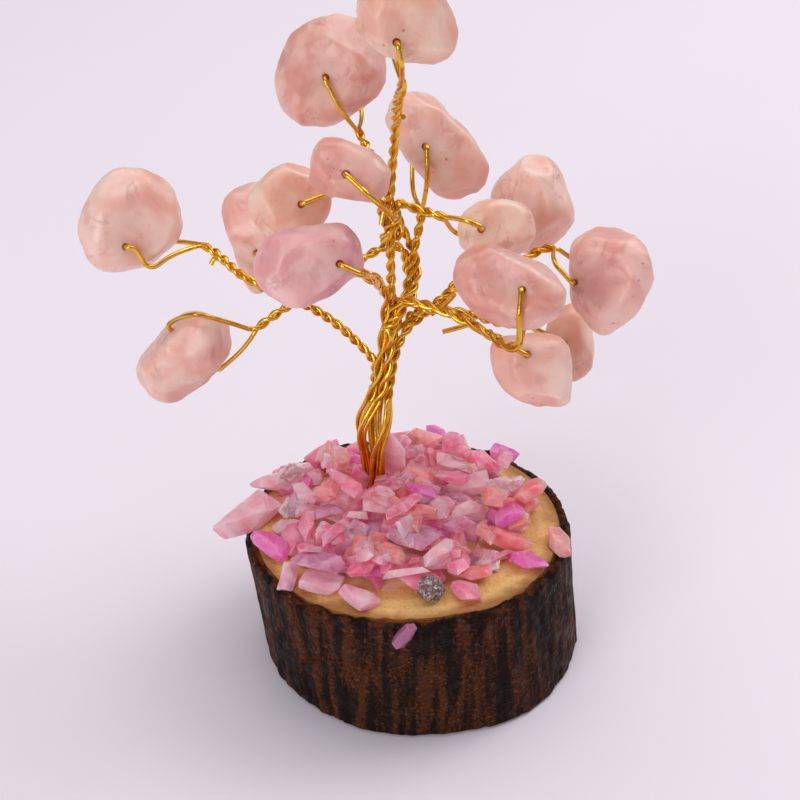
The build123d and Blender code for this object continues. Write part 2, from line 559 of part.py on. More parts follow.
def make_chips():
    """The crushed stone by hue, the chips placed by hand first, and the crumb of rock."""
    rng = random.Random(CHIP_SEED)
    kinds = [Block(make_shard(rng)) for _ in range(SHARD_KINDS)]
    keep_out = extrude(RegularPolygon(BULB_RADIUS, TRUNK_SIDES), FORK_HEIGHT)
    trunk = Block(Pos(TRUNK_X, TRUNK_Y, SLICE_HEIGHT) * keep_out)
    crumb = Block(make_shard(rng, CRUMB_WIDTH_SHARES, CRUMB_HEIGHT_SHARES))
    crumb = crumb.resting(CRUMB_SIZE, chip_turns(0, 0, 0))
    settle(crumb, CRUMB_PLACE_SHARES[0] * SLICE_RADIUS, CRUMB_PLACE_SHARES[1] * SLICE_RADIUS, [])
    placed = [trunk, crumb]
    chips = {hue: [] for hue in CHIP_HUES}
    for hue, place, length, turn, lean, roll, kind in PLACED_CHIP_SHARES:
        tries = []
        for order in range(CHIP_TRIES + 1):
            stray = PLACED_STRAY * math.sqrt(order / CHIP_TRIES)
            x = place[0] * SLICE_RADIUS + stray * math.cos(order * GOLDEN_ANGLE)
            y = place[1] * SLICE_RADIUS + stray * math.sin(order * GOLDEN_ANGLE)
            chip = kinds[kind].resting(CHIP_LENGTH * length, chip_turns(turn, lean, roll))
            tries.append((settle(chip, x, y, placed) + stray, order, chip))
        placed.append(min(tries)[2])
        chips[hue].append(placed[-1].placed_solid())
    for x, y in scatter_places():
        tries = []
        for _ in range(CHIP_TRIES):
            turns = chip_turns(rng.uniform(0, 360), rng.uniform(-CHIP_TILT, CHIP_TILT),
                               rng.uniform(-CHIP_ROLL, CHIP_ROLL))
            size = CHIP_LENGTH * rng.uniform(*CHIP_SIZE_SHARES)
            chip = kinds[rng.randrange(SHARD_KINDS)].resting(size, turns)
            top = settle(chip, x + rng.gauss(0, CHIP_STRAY), y + rng.gauss(0, CHIP_STRAY), placed)
            tries.append((top - size * SIZE_MERIT, len(tries), top, chip))
        hue = rng.choices(list(CHIP_HUES), list(CHIP_HUES.values()))[0]
        merit, order, top, chip = min(tries)
        if top < PILE_HEIGHT:
            placed.append(chip)
            chips[hue].append(chip.placed_solid())
    chips["magenta"].append(make_bark_chip(kinds[BARK_CHIP_KIND]))
    return {hue: Compound([part for solid in solids for part in solid.solids()])
            for hue, solids in chips.items()}, crumb.placed_solid()


def main():
    os.makedirs("parts", exist_ok=True)
    nodes = {}
    nodes["wood_slice"], nodes["bark_ring"] = make_slice()
    nodes["glue_bed"] = make_bed()
    chips, nodes["rock_crumb"] = make_chips()
    for hue, shape in chips.items():
        nodes[f"chips_{hue}"] = shape
    for name, stone in STONES.items():
        nodes[f"stone_{name}"] = make_stone(stone)
        nodes[f"stem_{name}"] = make_stem(name)
    for name, shape in nodes.items():
        export_step(shape, f"parts/{name}.step")


main()
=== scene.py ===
"""The looks of a small gemstone tree: tumbled rose quartz on twisted brass wire, in a slice of a branch.

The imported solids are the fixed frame, in metres, and every piece here stands for one of them where it is.
"""

import json
import logging
import math
import random
from collections.abc import Callable, Iterable, Sequence
from dataclasses import dataclass
from enum import Enum
from itertools import combinations

import bmesh
import bpy
from mathutils import Matrix, Vector, noise
from mathutils.bvhtree import BVHTree


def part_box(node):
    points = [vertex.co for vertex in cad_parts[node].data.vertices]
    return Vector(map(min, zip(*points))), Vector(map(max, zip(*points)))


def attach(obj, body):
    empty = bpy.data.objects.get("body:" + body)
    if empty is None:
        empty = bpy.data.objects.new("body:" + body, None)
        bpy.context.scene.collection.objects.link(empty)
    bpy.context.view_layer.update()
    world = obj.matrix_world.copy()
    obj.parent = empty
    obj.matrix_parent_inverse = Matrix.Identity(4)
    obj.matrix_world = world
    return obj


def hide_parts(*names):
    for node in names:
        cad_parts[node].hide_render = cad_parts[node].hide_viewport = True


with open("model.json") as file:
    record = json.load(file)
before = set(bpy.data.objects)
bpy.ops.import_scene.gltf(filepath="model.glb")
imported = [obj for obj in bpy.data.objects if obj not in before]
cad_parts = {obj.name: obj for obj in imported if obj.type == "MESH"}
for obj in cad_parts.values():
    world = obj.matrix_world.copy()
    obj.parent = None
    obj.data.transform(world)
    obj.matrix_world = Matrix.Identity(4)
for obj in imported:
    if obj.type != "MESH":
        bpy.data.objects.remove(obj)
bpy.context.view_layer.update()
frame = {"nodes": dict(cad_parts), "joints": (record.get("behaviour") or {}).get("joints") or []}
LOG = logging.getLogger("gemstone_tree")
MM = 0.001
UP = Vector((0, 0, 1))

BMesh = bmesh.types.BMesh
Mesh = bpy.types.Mesh
Material = bpy.types.Material
Object = bpy.types.Object
Colour = tuple[float, float, float, float]
Shares = tuple[float, float, float]
Span = tuple[float, float]


def srgb(red: int, green: int, blue: int) -> Colour:
    """A linear colour from eight-bit screen values.

    Args:
        red, green, blue: The screen values, 0 to 255.

    Returns:
        The linear colour, opaque.
    """
    parts = [value / 255 for value in (red, green, blue)]
    linear = [part / 12.92 if part <= 0.04045 else ((part + 0.055) / 1.055) ** 2.4 for part in parts]
    return (*linear, 1.0)


class Body(Enum):
    """The body that a piece rides on, where it isn't a stone's own."""

    TREE = "tree"


class Slot(Enum):
    """The record's material slots that are used for more than one piece."""

    BRASS = "brass_wire"
    QUARTZ = "rose_quartz"


class Field:
    """A value over a surface: a shader socket whose operators add Math nodes."""

    def __init__(self, graph: "Graph", socket: bpy.types.NodeSocket) -> None:
        """Wrap a socket of a graph."""
        self.graph = graph
        self.socket = socket

    def __add__(self, other: "Field | float") -> "Field":
        """Sum."""
        return self.graph.math("ADD", self, other)

    __radd__ = __add__

    def __sub__(self, other: "Field | float") -> "Field":
        """Difference."""
        return self.graph.math("SUBTRACT", self, other)

    def __rsub__(self, other: float) -> "Field":
        """Difference from a number."""
        return self.graph.math("SUBTRACT", other, self)

    def __mul__(self, other: "Field | float") -> "Field":
        """Product."""
        return self.graph.math("MULTIPLY", self, other)

    __rmul__ = __mul__

    def __abs__(self) -> "Field":
        """Size without sign."""
        return self.graph.math("ABSOLUTE", self)


class Graph:
    """A material's nodes, which end in one Principled shader."""

    def __init__(self, name: str) -> None:
        """Start an empty material of that name."""
        self.material = bpy.data.materials.new(name)
        self.material.use_nodes = True
        self.tree = self.material.node_tree
        self.tree.nodes.clear()

    def node(
        self, kind: str, settings: dict | None = None, inputs: dict | None = None, output: int | str = 0
    ) -> Field:
        """Add a node.

        Args:
            kind: The node's type.
            settings: Its own settings, set first.
            inputs: The values or fields of its sockets, by name or number.
            output: The socket that is returned.

        Returns:
            That output as a field.
        """
        made = self.tree.nodes.new(kind)
        for key, value in (settings or {}).items():
            setattr(made, key, value)
        for key, value in (inputs or {}).items():
            if isinstance(value, Field):
                self.tree.links.new(value.socket, made.inputs[key])
            else:
                made.inputs[key].default_value = value
        return Field(self, made.outputs[output])

    def math(self, operation: str, *values: Field | float) -> Field:
        """A Math node on fields or numbers."""
        return self.node("ShaderNodeMath", {"operation": operation}, dict(enumerate(values)))

    def mix(self, factor: Field | float, first: Field | Colour, second: Field | Colour) -> Field:
        """Two colours mixed by a factor."""
        inputs = {0: factor, 6: first, 7: second}
        return self.node("ShaderNodeMix", {"data_type": "RGBA"}, inputs, 2)

    def band(self, value: Field, low: float, high: float) -> Field:
        """A smooth step: 0 below low and 1 above high."""
        settings = {"interpolation_type": "SMOOTHSTEP", "clamp": True}
        return self.node("ShaderNodeMapRange", settings, {0: value, 1: low, 2: high})

    def place(self, shift: float = 0.0, stretch: Shares = (1, 1, 1)) -> Field:
        """Object coordinates in millimetres, shifted so that pieces differ, and stretched."""
        coords = self.node("ShaderNodeTexCoord", output="Object")
        scale = [share / MM for share in stretch]
        inputs = {"Vector": coords, "Location": (shift, 1.7 * shift, -shift), "Scale": scale}
        return self.node("ShaderNodeMapping", inputs=inputs)

    def noise(self, place: Field, size: float, detail: float = 3.0, distortion: float = 0.0) -> Field:
        """Cloudy noise with features of a size in millimetres."""
        inputs = {"Vector": place, "Scale": 1 / size, "Detail": detail, "Distortion": distortion}
        return self.node("ShaderNodeTexNoise", inputs=inputs)

    def cells(self, place: Field, size: float) -> Field:
        """Distance to the nearest of scattered points, which lie about a size apart."""
        return self.node("ShaderNodeTexVoronoi", inputs={"Vector": place, "Scale": 1 / size})

    def bump(self, height: Field, distance: float) -> Field:
        """A bumped normal from a height field, with its full height in millimetres."""
        return self.node("ShaderNodeBump", inputs={"Height": height, "Distance": distance * MM})

    def part(self, place: Field, axis: str) -> Field:
        """One coordinate of a place."""
        return self.node("ShaderNodeSeparateXYZ", inputs={0: place}, output=axis)

    def shade(self, **sockets: Field | float | Sequence[float]) -> Material:
        """Finish the material with a Principled shader.

        Args:
            sockets: The shader's inputs, with underscores for spaces.

        Returns:
            The finished material.
        """
        inputs = {key.replace("_", " ").replace("Ior", "IOR"): value for key, value in sockets.items()}
        surface = self.node("ShaderNodeBsdfPrincipled", inputs=inputs)
        output = self.tree.nodes.new("ShaderNodeOutputMaterial")
        self.tree.links.new(surface.socket, output.inputs["Surface"])
        return self.material


@dataclass(frozen=True)
class RoseQuartz:
    """Tumbled rose quartz: cloudy, with fine veins, brown specks and a satin polish."""

    pale: Colour
    deep: Colour
    shift: float
    vein: Colour = srgb(176, 96, 92)
    speck: Colour = srgb(128, 72, 56)
    blush: Colour = srgb(210, 120, 164)
    blush_share: float = 0.0

    def material(self, name: str) -> Material:
        """Make the material under a name."""
        graph = Graph(name)
        place = graph.place(self.shift)
        cloud = graph.noise(place, 4.5, 3, 0.6)
        colour = graph.mix(graph.band(cloud, 0.36, 0.64), self.pale, self.deep)
        if self.blush_share:
            flushed = graph.band(graph.noise(place, 3.6, 2), 0.56, 0.74)
            colour = graph.mix(flushed * self.blush_share, colour, self.blush)
        ridge = abs(graph.noise(place, 4.0, 8, 2.0) - 0.5)
        veined = graph.band(graph.noise(place, 2.6, 3), 0.46, 0.70)
        vein = (1 - graph.band(ridge, 0.0, 0.08)) * veined
        colour = graph.mix(vein * 0.30, colour, self.vein)
        speck = 1 - graph.band(graph.cells(place, 1.5), 0.05, 0.13)
        specked = graph.band(graph.noise(place, 5.5, 2), 0.5, 0.62)
        colour = graph.mix(speck * specked * 0.55, colour, self.speck)
        grain = graph.noise(place, 0.7, 4)
        return graph.shade(
            Base_Color=colour, Roughness=0.34 + 0.22 * grain, Normal=graph.bump(grain + 0.5 * vein, 0.06),
            Subsurface_Weight=0.85, Subsurface_Radius=(1.0, 0.62, 0.52), Subsurface_Scale=2.6 * MM,
            Coat_Weight=0.25, Coat_Roughness=0.16, Ior=1.54)


@dataclass(frozen=True)
class CrushedStone:
    """Glassy crushed stone of one hue, cloudy inside, with a painted glow, and painted shade where a chip
    lies on the dark bark.
    """

    pale: Colour
    deep: Colour
    clear: float
    shift: float
    painted_glow: float = 0.07
    painted_bark_shade: Colour = srgb(158, 100, 134)
    bark_front: float = -16.9

    def material(self, name: str) -> Material:
        """Make the material under a name."""
        graph = Graph(name)
        place = graph.place(self.shift)
        cloud = graph.noise(place, 2.2, 4, 0.8)
        colour = graph.mix(graph.band(cloud, 0.32, 0.68), self.pale, self.deep)
        flaw = 1 - graph.band(abs(graph.noise(place, 2.6, 5, 1.5) - 0.5), 0.005, 0.03)
        colour = graph.mix(flaw * 0.15, colour, srgb(250, 226, 228))
        # Painted shade: darker where a chip lies in front of the dark bark, standing in for the bark seen
        # through it.
        bark_shade_mask = 1 - graph.band(graph.part(graph.place(), "Y"), self.bark_front - 0.2, self.bark_front)
        colour = graph.mix(bark_shade_mask, colour, self.painted_bark_shade)
        grain = graph.noise(place, 0.5, 5, 0.5)
        # The emission is a painted glow: the chip's colour lit from inside, standing in for light scattered
        # through the stone.
        return graph.shade(
            Base_Color=colour, Roughness=0.08 + 0.16 * graph.band(cloud, 0.45, 0.75),
            Normal=graph.bump(grain + 0.6 * flaw, 0.09), Transmission_Weight=self.clear, Ior=1.45,
            Subsurface_Weight=1.0, Subsurface_Radius=(1.0, 0.55, 0.6), Subsurface_Scale=2.2 * MM,
            Emission_Color=colour, Emission_Strength=self.painted_glow, Coat_Weight=0.35, Coat_Roughness=0.03)


@dataclass(frozen=True)
class BrassWire:
    """Bright drawn brass with draw lines, and brown patches that are partly tarnish and partly painted dark
    reflection.
    """

    bright: Colour = srgb(246, 200, 74)
    warm: Colour = srgb(226, 166, 42)
    tarnish_and_dark_reflection: Colour = srgb(140, 80, 22)

    def material(self, name: str) -> Material:
        """Make the material under a name."""
        graph = Graph(name)
        place = graph.place()
        tone = graph.noise(place, 2.4, 3)
        colour = graph.mix(graph.band(tone, 0.35, 0.65), self.bright, self.warm)
        # Brown patches in the base colour: partly tarnish, partly painted dark reflection of the dark
        # surroundings.
        brown = graph.band(graph.noise(place, 1.3, 4, 0.5), 0.56, 0.72)
        colour = graph.mix(brown * 0.45, colour, self.tarnish_and_dark_reflection)
        scratch = graph.noise(place, 0.12, 2)
        return graph.shade(
            Base_Color=colour, Metallic=1.0, Roughness=0.20 + 0.16 * brown,
            Normal=graph.bump(scratch, 0.012))


@dataclass(frozen=True)
class SawnWood:
    """The sawn face of a branch: pale, with rings, flecks and a stained edge."""

    pale: Colour = srgb(238, 196, 126)
    late: Colour = srgb(218, 164, 88)
    stain: Colour = srgb(150, 84, 26)
    pith: Shares = (-1.6, 0.0, 0.0)
    stain_from: float = 14.7
    stain_to: float = 16.5

    def material(self, name: str) -> Material:
        """Make the material under a name."""
        graph = Graph(name)
        place = graph.place()
        centred = graph.node("ShaderNodeVectorMath", {"operation": "SUBTRACT"}, {0: place, 1: self.pith})
        flat = graph.node("ShaderNodeVectorMath", {"operation": "MULTIPLY"}, {0: centred, 1: (1, 1, 0)})
        radius = graph.node("ShaderNodeVectorMath", {"operation": "LENGTH"}, {0: flat}, "Value")
        warp = graph.noise(place, 6.0, 3)
        rings = graph.math("SINE", (radius + 2.2 * warp) * 4.2)
        fleck = graph.noise(place, 0.35, 4)
        darker = graph.band(rings, -0.3, 1.0) * 0.22 + 0.55 * graph.band(fleck, 0.42, 0.68)
        colour = graph.mix(darker, self.pale, self.late)
        edge = graph.band(radius + 2.6 * (graph.noise(place, 2.2, 4) - 0.5), self.stain_from, self.stain_to)
        colour = graph.mix(edge * 0.85, colour, self.stain)
        return graph.shade(
            Base_Color=colour, Roughness=0.62 + 0.2 * fleck, Normal=graph.bump(fleck + 0.4 * rings, 0.06),
            Coat_Weight=0.08, Coat_Roughness=0.3)


@dataclass(frozen=True)
class BranchBark:
    """Varnished bark: near-black ribs with red-brown and tan patches between them."""

    black: Colour = srgb(24, 13, 9)
    brown: Colour = srgb(78, 39, 18)
    tan: Colour = srgb(140, 82, 34)
    inner: Colour = srgb(122, 66, 22)
    inner_to: float = 16.75
    lean: float = 1.6 / 14.6

    def material(self, name: str) -> Material:
        """Make the material under a name."""
        graph = Graph(name)
        long = graph.place(stretch=(1, 1, 0.10))
        place = graph.place()
        stripe = graph.noise(long, 1.15, 5, 0.4)
        fleck = graph.noise(place, 0.34, 8, 0.8)
        colour = graph.mix(graph.band(stripe + 0.6 * (fleck - 0.5), 0.42, 0.64), self.black, self.brown)
        patch = graph.band(fleck, 0.57, 0.68) * graph.band(stripe, 0.44, 0.60)
        colour = graph.mix(patch * 0.5, colour, self.tan)
        across = graph.part(place, "X") + self.lean * graph.part(place, "Z")
        along = graph.part(place, "Y")
        radius = graph.math("SQRT", across * across + along * along)
        rim = 1 - graph.band(radius + 0.7 * graph.noise(place, 0.9, 4), self.inner_to, self.inner_to + 0.35)
        colour = graph.mix(rim, colour, self.inner)
        fine = graph.noise(place, 0.35, 6)
        gloss = graph.band(graph.noise(place, 1.2, 4), 0.46, 0.64)
        return graph.shade(
            Base_Color=colour, Roughness=0.62 - 0.22 * gloss + 0.14 * fine, Specular_IOR_Level=0.10,
            Normal=graph.bump(fine + stripe, 0.22), Coat_Weight=0.07 * gloss, Coat_Roughness=0.16)


@dataclass(frozen=True)
class ClearGlue:
    """Hardened clear glue, with faint pink light from the stone around it painted into its colour."""

    painted_pink_light: Colour = srgb(246, 222, 220)

    def material(self, name: str) -> Material:
        """Make the material under a name."""
        graph = Graph(name)
        ripple = graph.noise(graph.place(), 1.6, 3)
        # The pink of the base colour is painted light picked up from the pink stone around the glue.
        return graph.shade(
            Base_Color=graph.mix(ripple, self.painted_pink_light, srgb(255, 240, 236)), Roughness=0.06 + 0.12 * ripple,
            Normal=graph.bump(ripple, 0.15), Alpha=0.10 + 0.20 * ripple, Ior=1.45)


@dataclass(frozen=True)
class CrumbRock:
    """A crumb of dark rock with pale grains."""

    dark: Colour = srgb(122, 98, 98)
    grain: Colour = srgb(216, 198, 196)

    def material(self, name: str) -> Material:
        """Make the material under a name."""
        graph = Graph(name)
        place = graph.place()
        grain = graph.noise(place, 0.28, 5)
        colour = graph.mix(graph.band(grain, 0.46, 0.66), self.dark, self.grain)
        return graph.shade(Base_Color=colour, Roughness=0.92, Normal=graph.bump(grain, 0.2))


PINK = (srgb(242, 204, 192), srgb(230, 170, 158))
PEACH = (srgb(242, 208, 188), srgb(232, 178, 156))
ROSE = (srgb(236, 192, 178), srgb(222, 156, 142))
PALE = (srgb(246, 214, 200), srgb(238, 186, 170))
BLUSH = (srgb(242, 200, 194), srgb(230, 168, 168))


def evenly(line: Sequence[Vector], step: float) -> list[Vector]:
    """A line's points at even steps.

    Args:
        line: Its points.
        step: The distance between the new points, about.

    Returns:
        The new points, with both ends kept.
    """
    lengths = [0.0]
    for before, after in zip(line, line[1:]):
        lengths.append(lengths[-1] + (after - before).length)
    count = max(2, round(lengths[-1] / step))
    points = []
    index = 0
    for number in range(count + 1):
        want = lengths[-1] * number / count
        while index < len(line) - 2 and lengths[index + 1] < want:
            index += 1
        run = lengths[index + 1] - lengths[index]
        points.append(line[index].lerp(line[index + 1], (want - lengths[index]) / run if run else 0))
    return points


def curve_mesh(name: str, kind: str, lines: Iterable[Sequence[Vector]], **settings: float | bool) -> Mesh:
    """The mesh of a curve.

    Args:
        name: The mesh's name.
        kind: The type of the curve's splines, POLY or NURBS.
        lines: The points of each spline.
        settings: The curve's own settings.

    Returns:
        One mesh of all the splines.
    """
    curve = bpy.data.curves.new(name, "CURVE")
    curve.dimensions = "3D"
    for key, value in settings.items():
        setattr(curve, key, value)
    for line in lines:
        spline = curve.splines.new(kind)
        spline.points.add(len(line) - 1)
        for made, point in zip(spline.points, line):
            made.co = (*point, 1)
        if kind == "NURBS":
            spline.order_u = 3
            spline.use_endpoint_u = True
    carrier = bpy.data.objects.new(name, curve)
    mesh = bpy.data.meshes.new_from_object(carrier)
    bpy.data.objects.remove(carrier)
    bpy.data.curves.remove(curve)
    return mesh


def smooth_line(points: Sequence[Vector], step: float) -> list[Vector]:
    """Points at even steps along the spline that has the given control points."""
    mesh = curve_mesh("route", "NURBS", [points], resolution_u=24)
    line = [vertex.co.copy() for vertex in mesh.vertices]
    bpy.data.meshes.remove(mesh)
    return evenly(line, step)


def add_piece(name: str, mesh: Mesh, material: Material, sharp: float = 180.0) -> Object:
    """Link a finished mesh into the scene.

    Args:
        name: The piece's name.
        mesh: Its mesh, in place.
        material: Its finish.
        sharp: Edges that turn by more degrees than this stay sharp.

    Returns:
        The piece.
    """
    mesh.name = name
    mesh.materials.clear()
    mesh.materials.append(material)
    mesh.shade_smooth()
    if sharp < 180:
        mesh.set_sharp_from_angle(angle=math.radians(sharp))
    piece = bpy.data.objects.new(name, mesh)
    bpy.context.scene.collection.objects.link(piece)
    return piece


def dress(piece: Object, node: str, body: str = Body.TREE.value) -> None:
    """Put a piece on its body in place of its node, and report it."""
    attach(piece, body)
    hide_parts(node)
    LOG.info("%s: %d faces on %s", piece.name, len(piece.data.polygons), body)


def mesh_of(shape: BMesh, name: str) -> Mesh:
    """The bmesh as a mesh; the bmesh is freed."""
    mesh = bpy.data.meshes.new(name)
    shape.to_mesh(mesh)
    shape.free()
    return mesh


def merged_copy(node: str) -> BMesh:
    """A copy of a node's mesh with its loose triangles joined."""
    shape = bmesh.new()
    shape.from_mesh(frame["nodes"][node].data)
    bmesh.ops.remove_doubles(shape, verts=shape.verts, dist=0.002 * MM)
    return shape


def applied(mesh: Mesh, *modifiers: tuple[str, dict]) -> Mesh:
    """A mesh after modifiers.

    Args:
        mesh: The mesh to start from.
        modifiers: Each one's type and settings.

    Returns:
        The new mesh.
    """
    carrier = bpy.data.objects.new("carrier", mesh)
    bpy.context.scene.collection.objects.link(carrier)
    for kind, settings in modifiers:
        modifier = carrier.modifiers.new(kind.title(), kind)
        for key, value in settings.items():
            setattr(modifier, key, value)
    depsgraph = bpy.context.evaluated_depsgraph_get()
    result = bpy.data.meshes.new_from_object(carrier.evaluated_get(depsgraph))
    bpy.data.objects.remove(carrier)
    return result


def roughen(shape: BMesh, *layers: Span, shift: Vector = Vector(), wear: float = 0.0) -> None:
    """Move vertices along their normals by noise.

    Args:
        shape: The mesh.
        layers: Each layer's feature size and height, in metres.
        shift: Where in the noise the mesh lies, so that pieces differ.
        wear: How far the whole surface goes in.
    """
    shape.normal_update()
    moves = []
    for vertex in shape.verts:
        move = sum(noise.noise((vertex.co + shift) / size) * height for size, height in layers)
        moves.append(vertex.normal * (move - wear))
    for vertex, move in zip(shape.verts, moves):
        vertex.co += move


def middle_of(shape: BMesh) -> Vector:
    """The mean of a mesh's vertices."""
    return sum((v.co for v in shape.verts), Vector()) / len(shape.verts)


def wrap(shape: BMesh) -> None:
    """Wrap loose vertices in their convex hull, and drop those inside it."""
    bmesh.ops.convex_hull(shape, input=shape.verts)
    bmesh.ops.delete(shape, geom=[v for v in shape.verts if not v.link_faces], context="VERTS")


def grind(shape: BMesh, middle: Vector, normal: Vector, share: float) -> None:
    """Cut a convex mesh by a plane and close it.

    Args:
        shape: The mesh, cut in place.
        middle: Where the plane's distance counts from.
        normal: The plane's outward normal.
        share: The plane's distance, as a share of how far the mesh reaches that way.
    """
    support = max((v.co - middle).dot(normal) for v in shape.verts)
    cut = bmesh.ops.bisect_plane(
        shape, geom=[*shape.verts, *shape.edges, *shape.faces], clear_outer=True,
        plane_co=middle + normal * support * share, plane_no=normal)
    rim = [e for e in cut["geom_cut"] if isinstance(e, bmesh.types.BMEdge)]
    bmesh.ops.holes_fill(shape, edges=rim)


def spun(profile: Sequence[Span], steps: int) -> BMesh:
    """A profile of radius and height pairs, spun about the Z axis in some steps."""
    shape = bmesh.new()
    verts = [shape.verts.new((radius, 0, height)) for radius, height in profile]
    edges = [shape.edges.new(pair) for pair in zip(verts, verts[1:])]
    bmesh.ops.spin(shape, geom=verts + edges, axis=UP, angle=math.tau, steps=steps, use_merge=True)
    bmesh.ops.remove_doubles(shape, verts=shape.verts, dist=0.001 * MM)
    bmesh.ops.recalc_face_normals(shape, faces=shape.faces)
    return shape


def drilled(shape: BMesh, drill: BMesh) -> Mesh:
    """A mesh with another one cut out of it; both are freed."""
    cutter = bpy.data.objects.new("drill", mesh_of(drill, "drill"))
    bpy.context.scene.collection.objects.link(cutter)
    mesh = applied(mesh_of(shape, "drilled"), ("BOOLEAN", {"operation": "DIFFERENCE", "object": cutter}))
    bpy.data.objects.remove(cutter)
    return mesh


def absorb(whole: BMesh, part: BMesh) -> None:
    """Add a mesh to another one; the added one is freed."""
    mesh = mesh_of(part, "part")
    whole.from_mesh(mesh)
    bpy.data.meshes.remove(mesh)


@dataclass
class StoneJoint:
    """Where a stone hangs on its wire, read from the frame."""

    centre: Vector
    axis: Vector
    half_depth: float
    outline: list[Span]

    @classmethod
    def of(cls, name: str) -> "StoneJoint":
        """Read a stone's joint and measure its solid about the bore.

        Args:
            name: The stone's name.

        Returns:
            Its joint.
        """
        found = next(j for j in frame["joints"] if j["name"] == f"swivel_{name}")
        joint = cls(Vector(found["pos_m"]), Vector(found["axis"]).normalized(), 0.0, [])
        right, up = joint.towards(0), joint.towards(90)
        for vertex in frame["nodes"][f"stone_{name}"].data.vertices:
            offset = vertex.co - joint.centre
            joint.half_depth = max(joint.half_depth, abs(offset.dot(joint.axis)))
            flat = Vector((offset.dot(right), offset.dot(up)))
            joint.outline.append((math.degrees(math.atan2(flat.y, flat.x)), flat.length))
        return joint

    def towards(self, degrees: float) -> Vector:
        """The direction in the stone's plane at an angle from its right."""
        right = Vector((-self.axis.y, self.axis.x, 0)).normalized()
        angle = math.radians(degrees)
        return right * math.cos(angle) + self.axis.cross(right) * math.sin(angle)

    def reach(self, degrees: float, sector: float) -> float:
        """How far the stone's edge lies from the bore within a sector about a direction."""
        turns = [(abs((angle - degrees + 180) % 360 - 180), length) for angle, length in self.outline]
        return max(length for turn, length in turns if turn < sector)


@dataclass
class TumbledStone:
    """A drilled, tumbled stone: worn facets rounded over, soft lumps and a bore for its wire."""

    name: str
    finish: RoseQuartz
    facets: int = 11
    facet_wobble: Span = (-0.3, 0.3)
    facet_lean: Span = (0.35, 1.0)
    facet_share: Span = (0.84, 0.95)
    voxel: float = 0.28 * MM
    rounding: int = 2
    lumps: tuple[Span, ...] = (
        (3.4 * MM, 0.32 * MM), (1.4 * MM, 0.12 * MM), (0.6 * MM, 0.03 * MM))
    lump_spread: float = 7.0
    wear: float = 0.10 * MM
    bore_radius: float = 0.33 * MM
    bore_steps: int = 20
    mouth_radius: float = 0.45 * MM
    mouth_depth: float = 0.30 * MM
    overshoot: float = 2.0 * MM

    def worn_block(self, joint: StoneJoint) -> Mesh:
        """The stone's outer form with a few flats ground on it, still sharp.

        Args:
            joint: Where the stone hangs.

        Returns:
            A closed mesh.
        """
        rng = random.Random(self.name)
        shape = bmesh.new()
        for vertex in frame["nodes"][f"stone_{self.name}"].data.vertices:
            shape.verts.new(vertex.co)
        bmesh.ops.remove_doubles(shape, verts=shape.verts, dist=0.05 * MM)
        wrap(shape)
        middle = middle_of(shape)
        for number in range(self.facets):
            turn = 360 * (number + rng.uniform(*self.facet_wobble)) / self.facets
            lean = joint.axis * rng.choice((-1, 1)) * rng.uniform(*self.facet_lean)
            normal = (joint.towards(turn) + lean).normalized()
            grind(shape, middle, normal, rng.uniform(*self.facet_share))
        bmesh.ops.recalc_face_normals(shape, faces=shape.faces)
        return mesh_of(shape, self.name)

    def drill(self, joint: StoneJoint) -> BMesh:
        """The drill's form along the bore, with a small countersink at each face."""
        deep = joint.half_depth + self.overshoot
        lip = joint.half_depth - self.mouth_depth
        profile = [(0, -deep), (self.mouth_radius, -deep), (self.mouth_radius, -joint.half_depth),
                   (self.bore_radius, -lip), (self.bore_radius, lip), (self.mouth_radius, joint.half_depth),
                   (self.mouth_radius, deep), (0, deep)]
        shape = spun(profile, self.bore_steps)
        turn = UP.rotation_difference(joint.axis).to_matrix().to_4x4()
        bmesh.ops.transform(shape, matrix=Matrix.Translation(joint.centre) @ turn, verts=shape.verts)
        return shape

    def build(self) -> None:
        """Make the stone and hang it on its own body."""
        joint = StoneJoint.of(self.name)
        block = applied(
            self.worn_block(joint),
            ("REMESH", {"mode": "VOXEL", "voxel_size": self.voxel}),
            ("SMOOTH", {"factor": 0.5, "iterations": self.rounding}))
        shape = bmesh.new()
        shape.from_mesh(block)
        roughen(shape, *self.lumps, shift=joint.centre * self.lump_spread, wear=self.wear)
        mesh = drilled(shape, self.drill(joint))
        node = f"stone_{self.name}"
        material = self.finish.material(f"rose_quartz_{self.name}")
        piece = add_piece(f"quartz_{self.name}", mesh, material, sharp=50)
        dress(piece, node, node)


@dataclass(frozen=True)
class Tail:
    """A cut end of wire that sticks out of a stem: where along the branch, which way, and how far."""

    share: float
    out: Shares
    length: float
    squared: float = 0.5
    start: float = 0.30 * MM
    root: Span = (-1.6 * MM, -0.15 * MM)
    bend: Span = (-0.6 * MM, 0.10 * MM)
    rise: float = 0.35 * MM
    drift: float = 0.25 * MM


@dataclass
class Stem:
    """One folded wire's way: up the trunk or off another stem, out to its stone, and how it is twisted.

    The points are shares of the crown's reach and height, the same as the solids follow.
    """

    name: str
    via: tuple[Shares, ...]
    angle: float
    skew: float
    slot: int | None = None
    column: tuple[int, int] = (0, 0)
    bound: tuple[str, int, int] | None = None
    side: Shares = (0.0, 0.0, 0.0)
    pitch: float = 3.0 * MM
    slack: float = 0.26 * MM
    sags: tuple[Shares, ...] = ()
    tails: tuple[Tail, ...] = ()
    strays: tuple[tuple[Shares, ...], ...] = ()


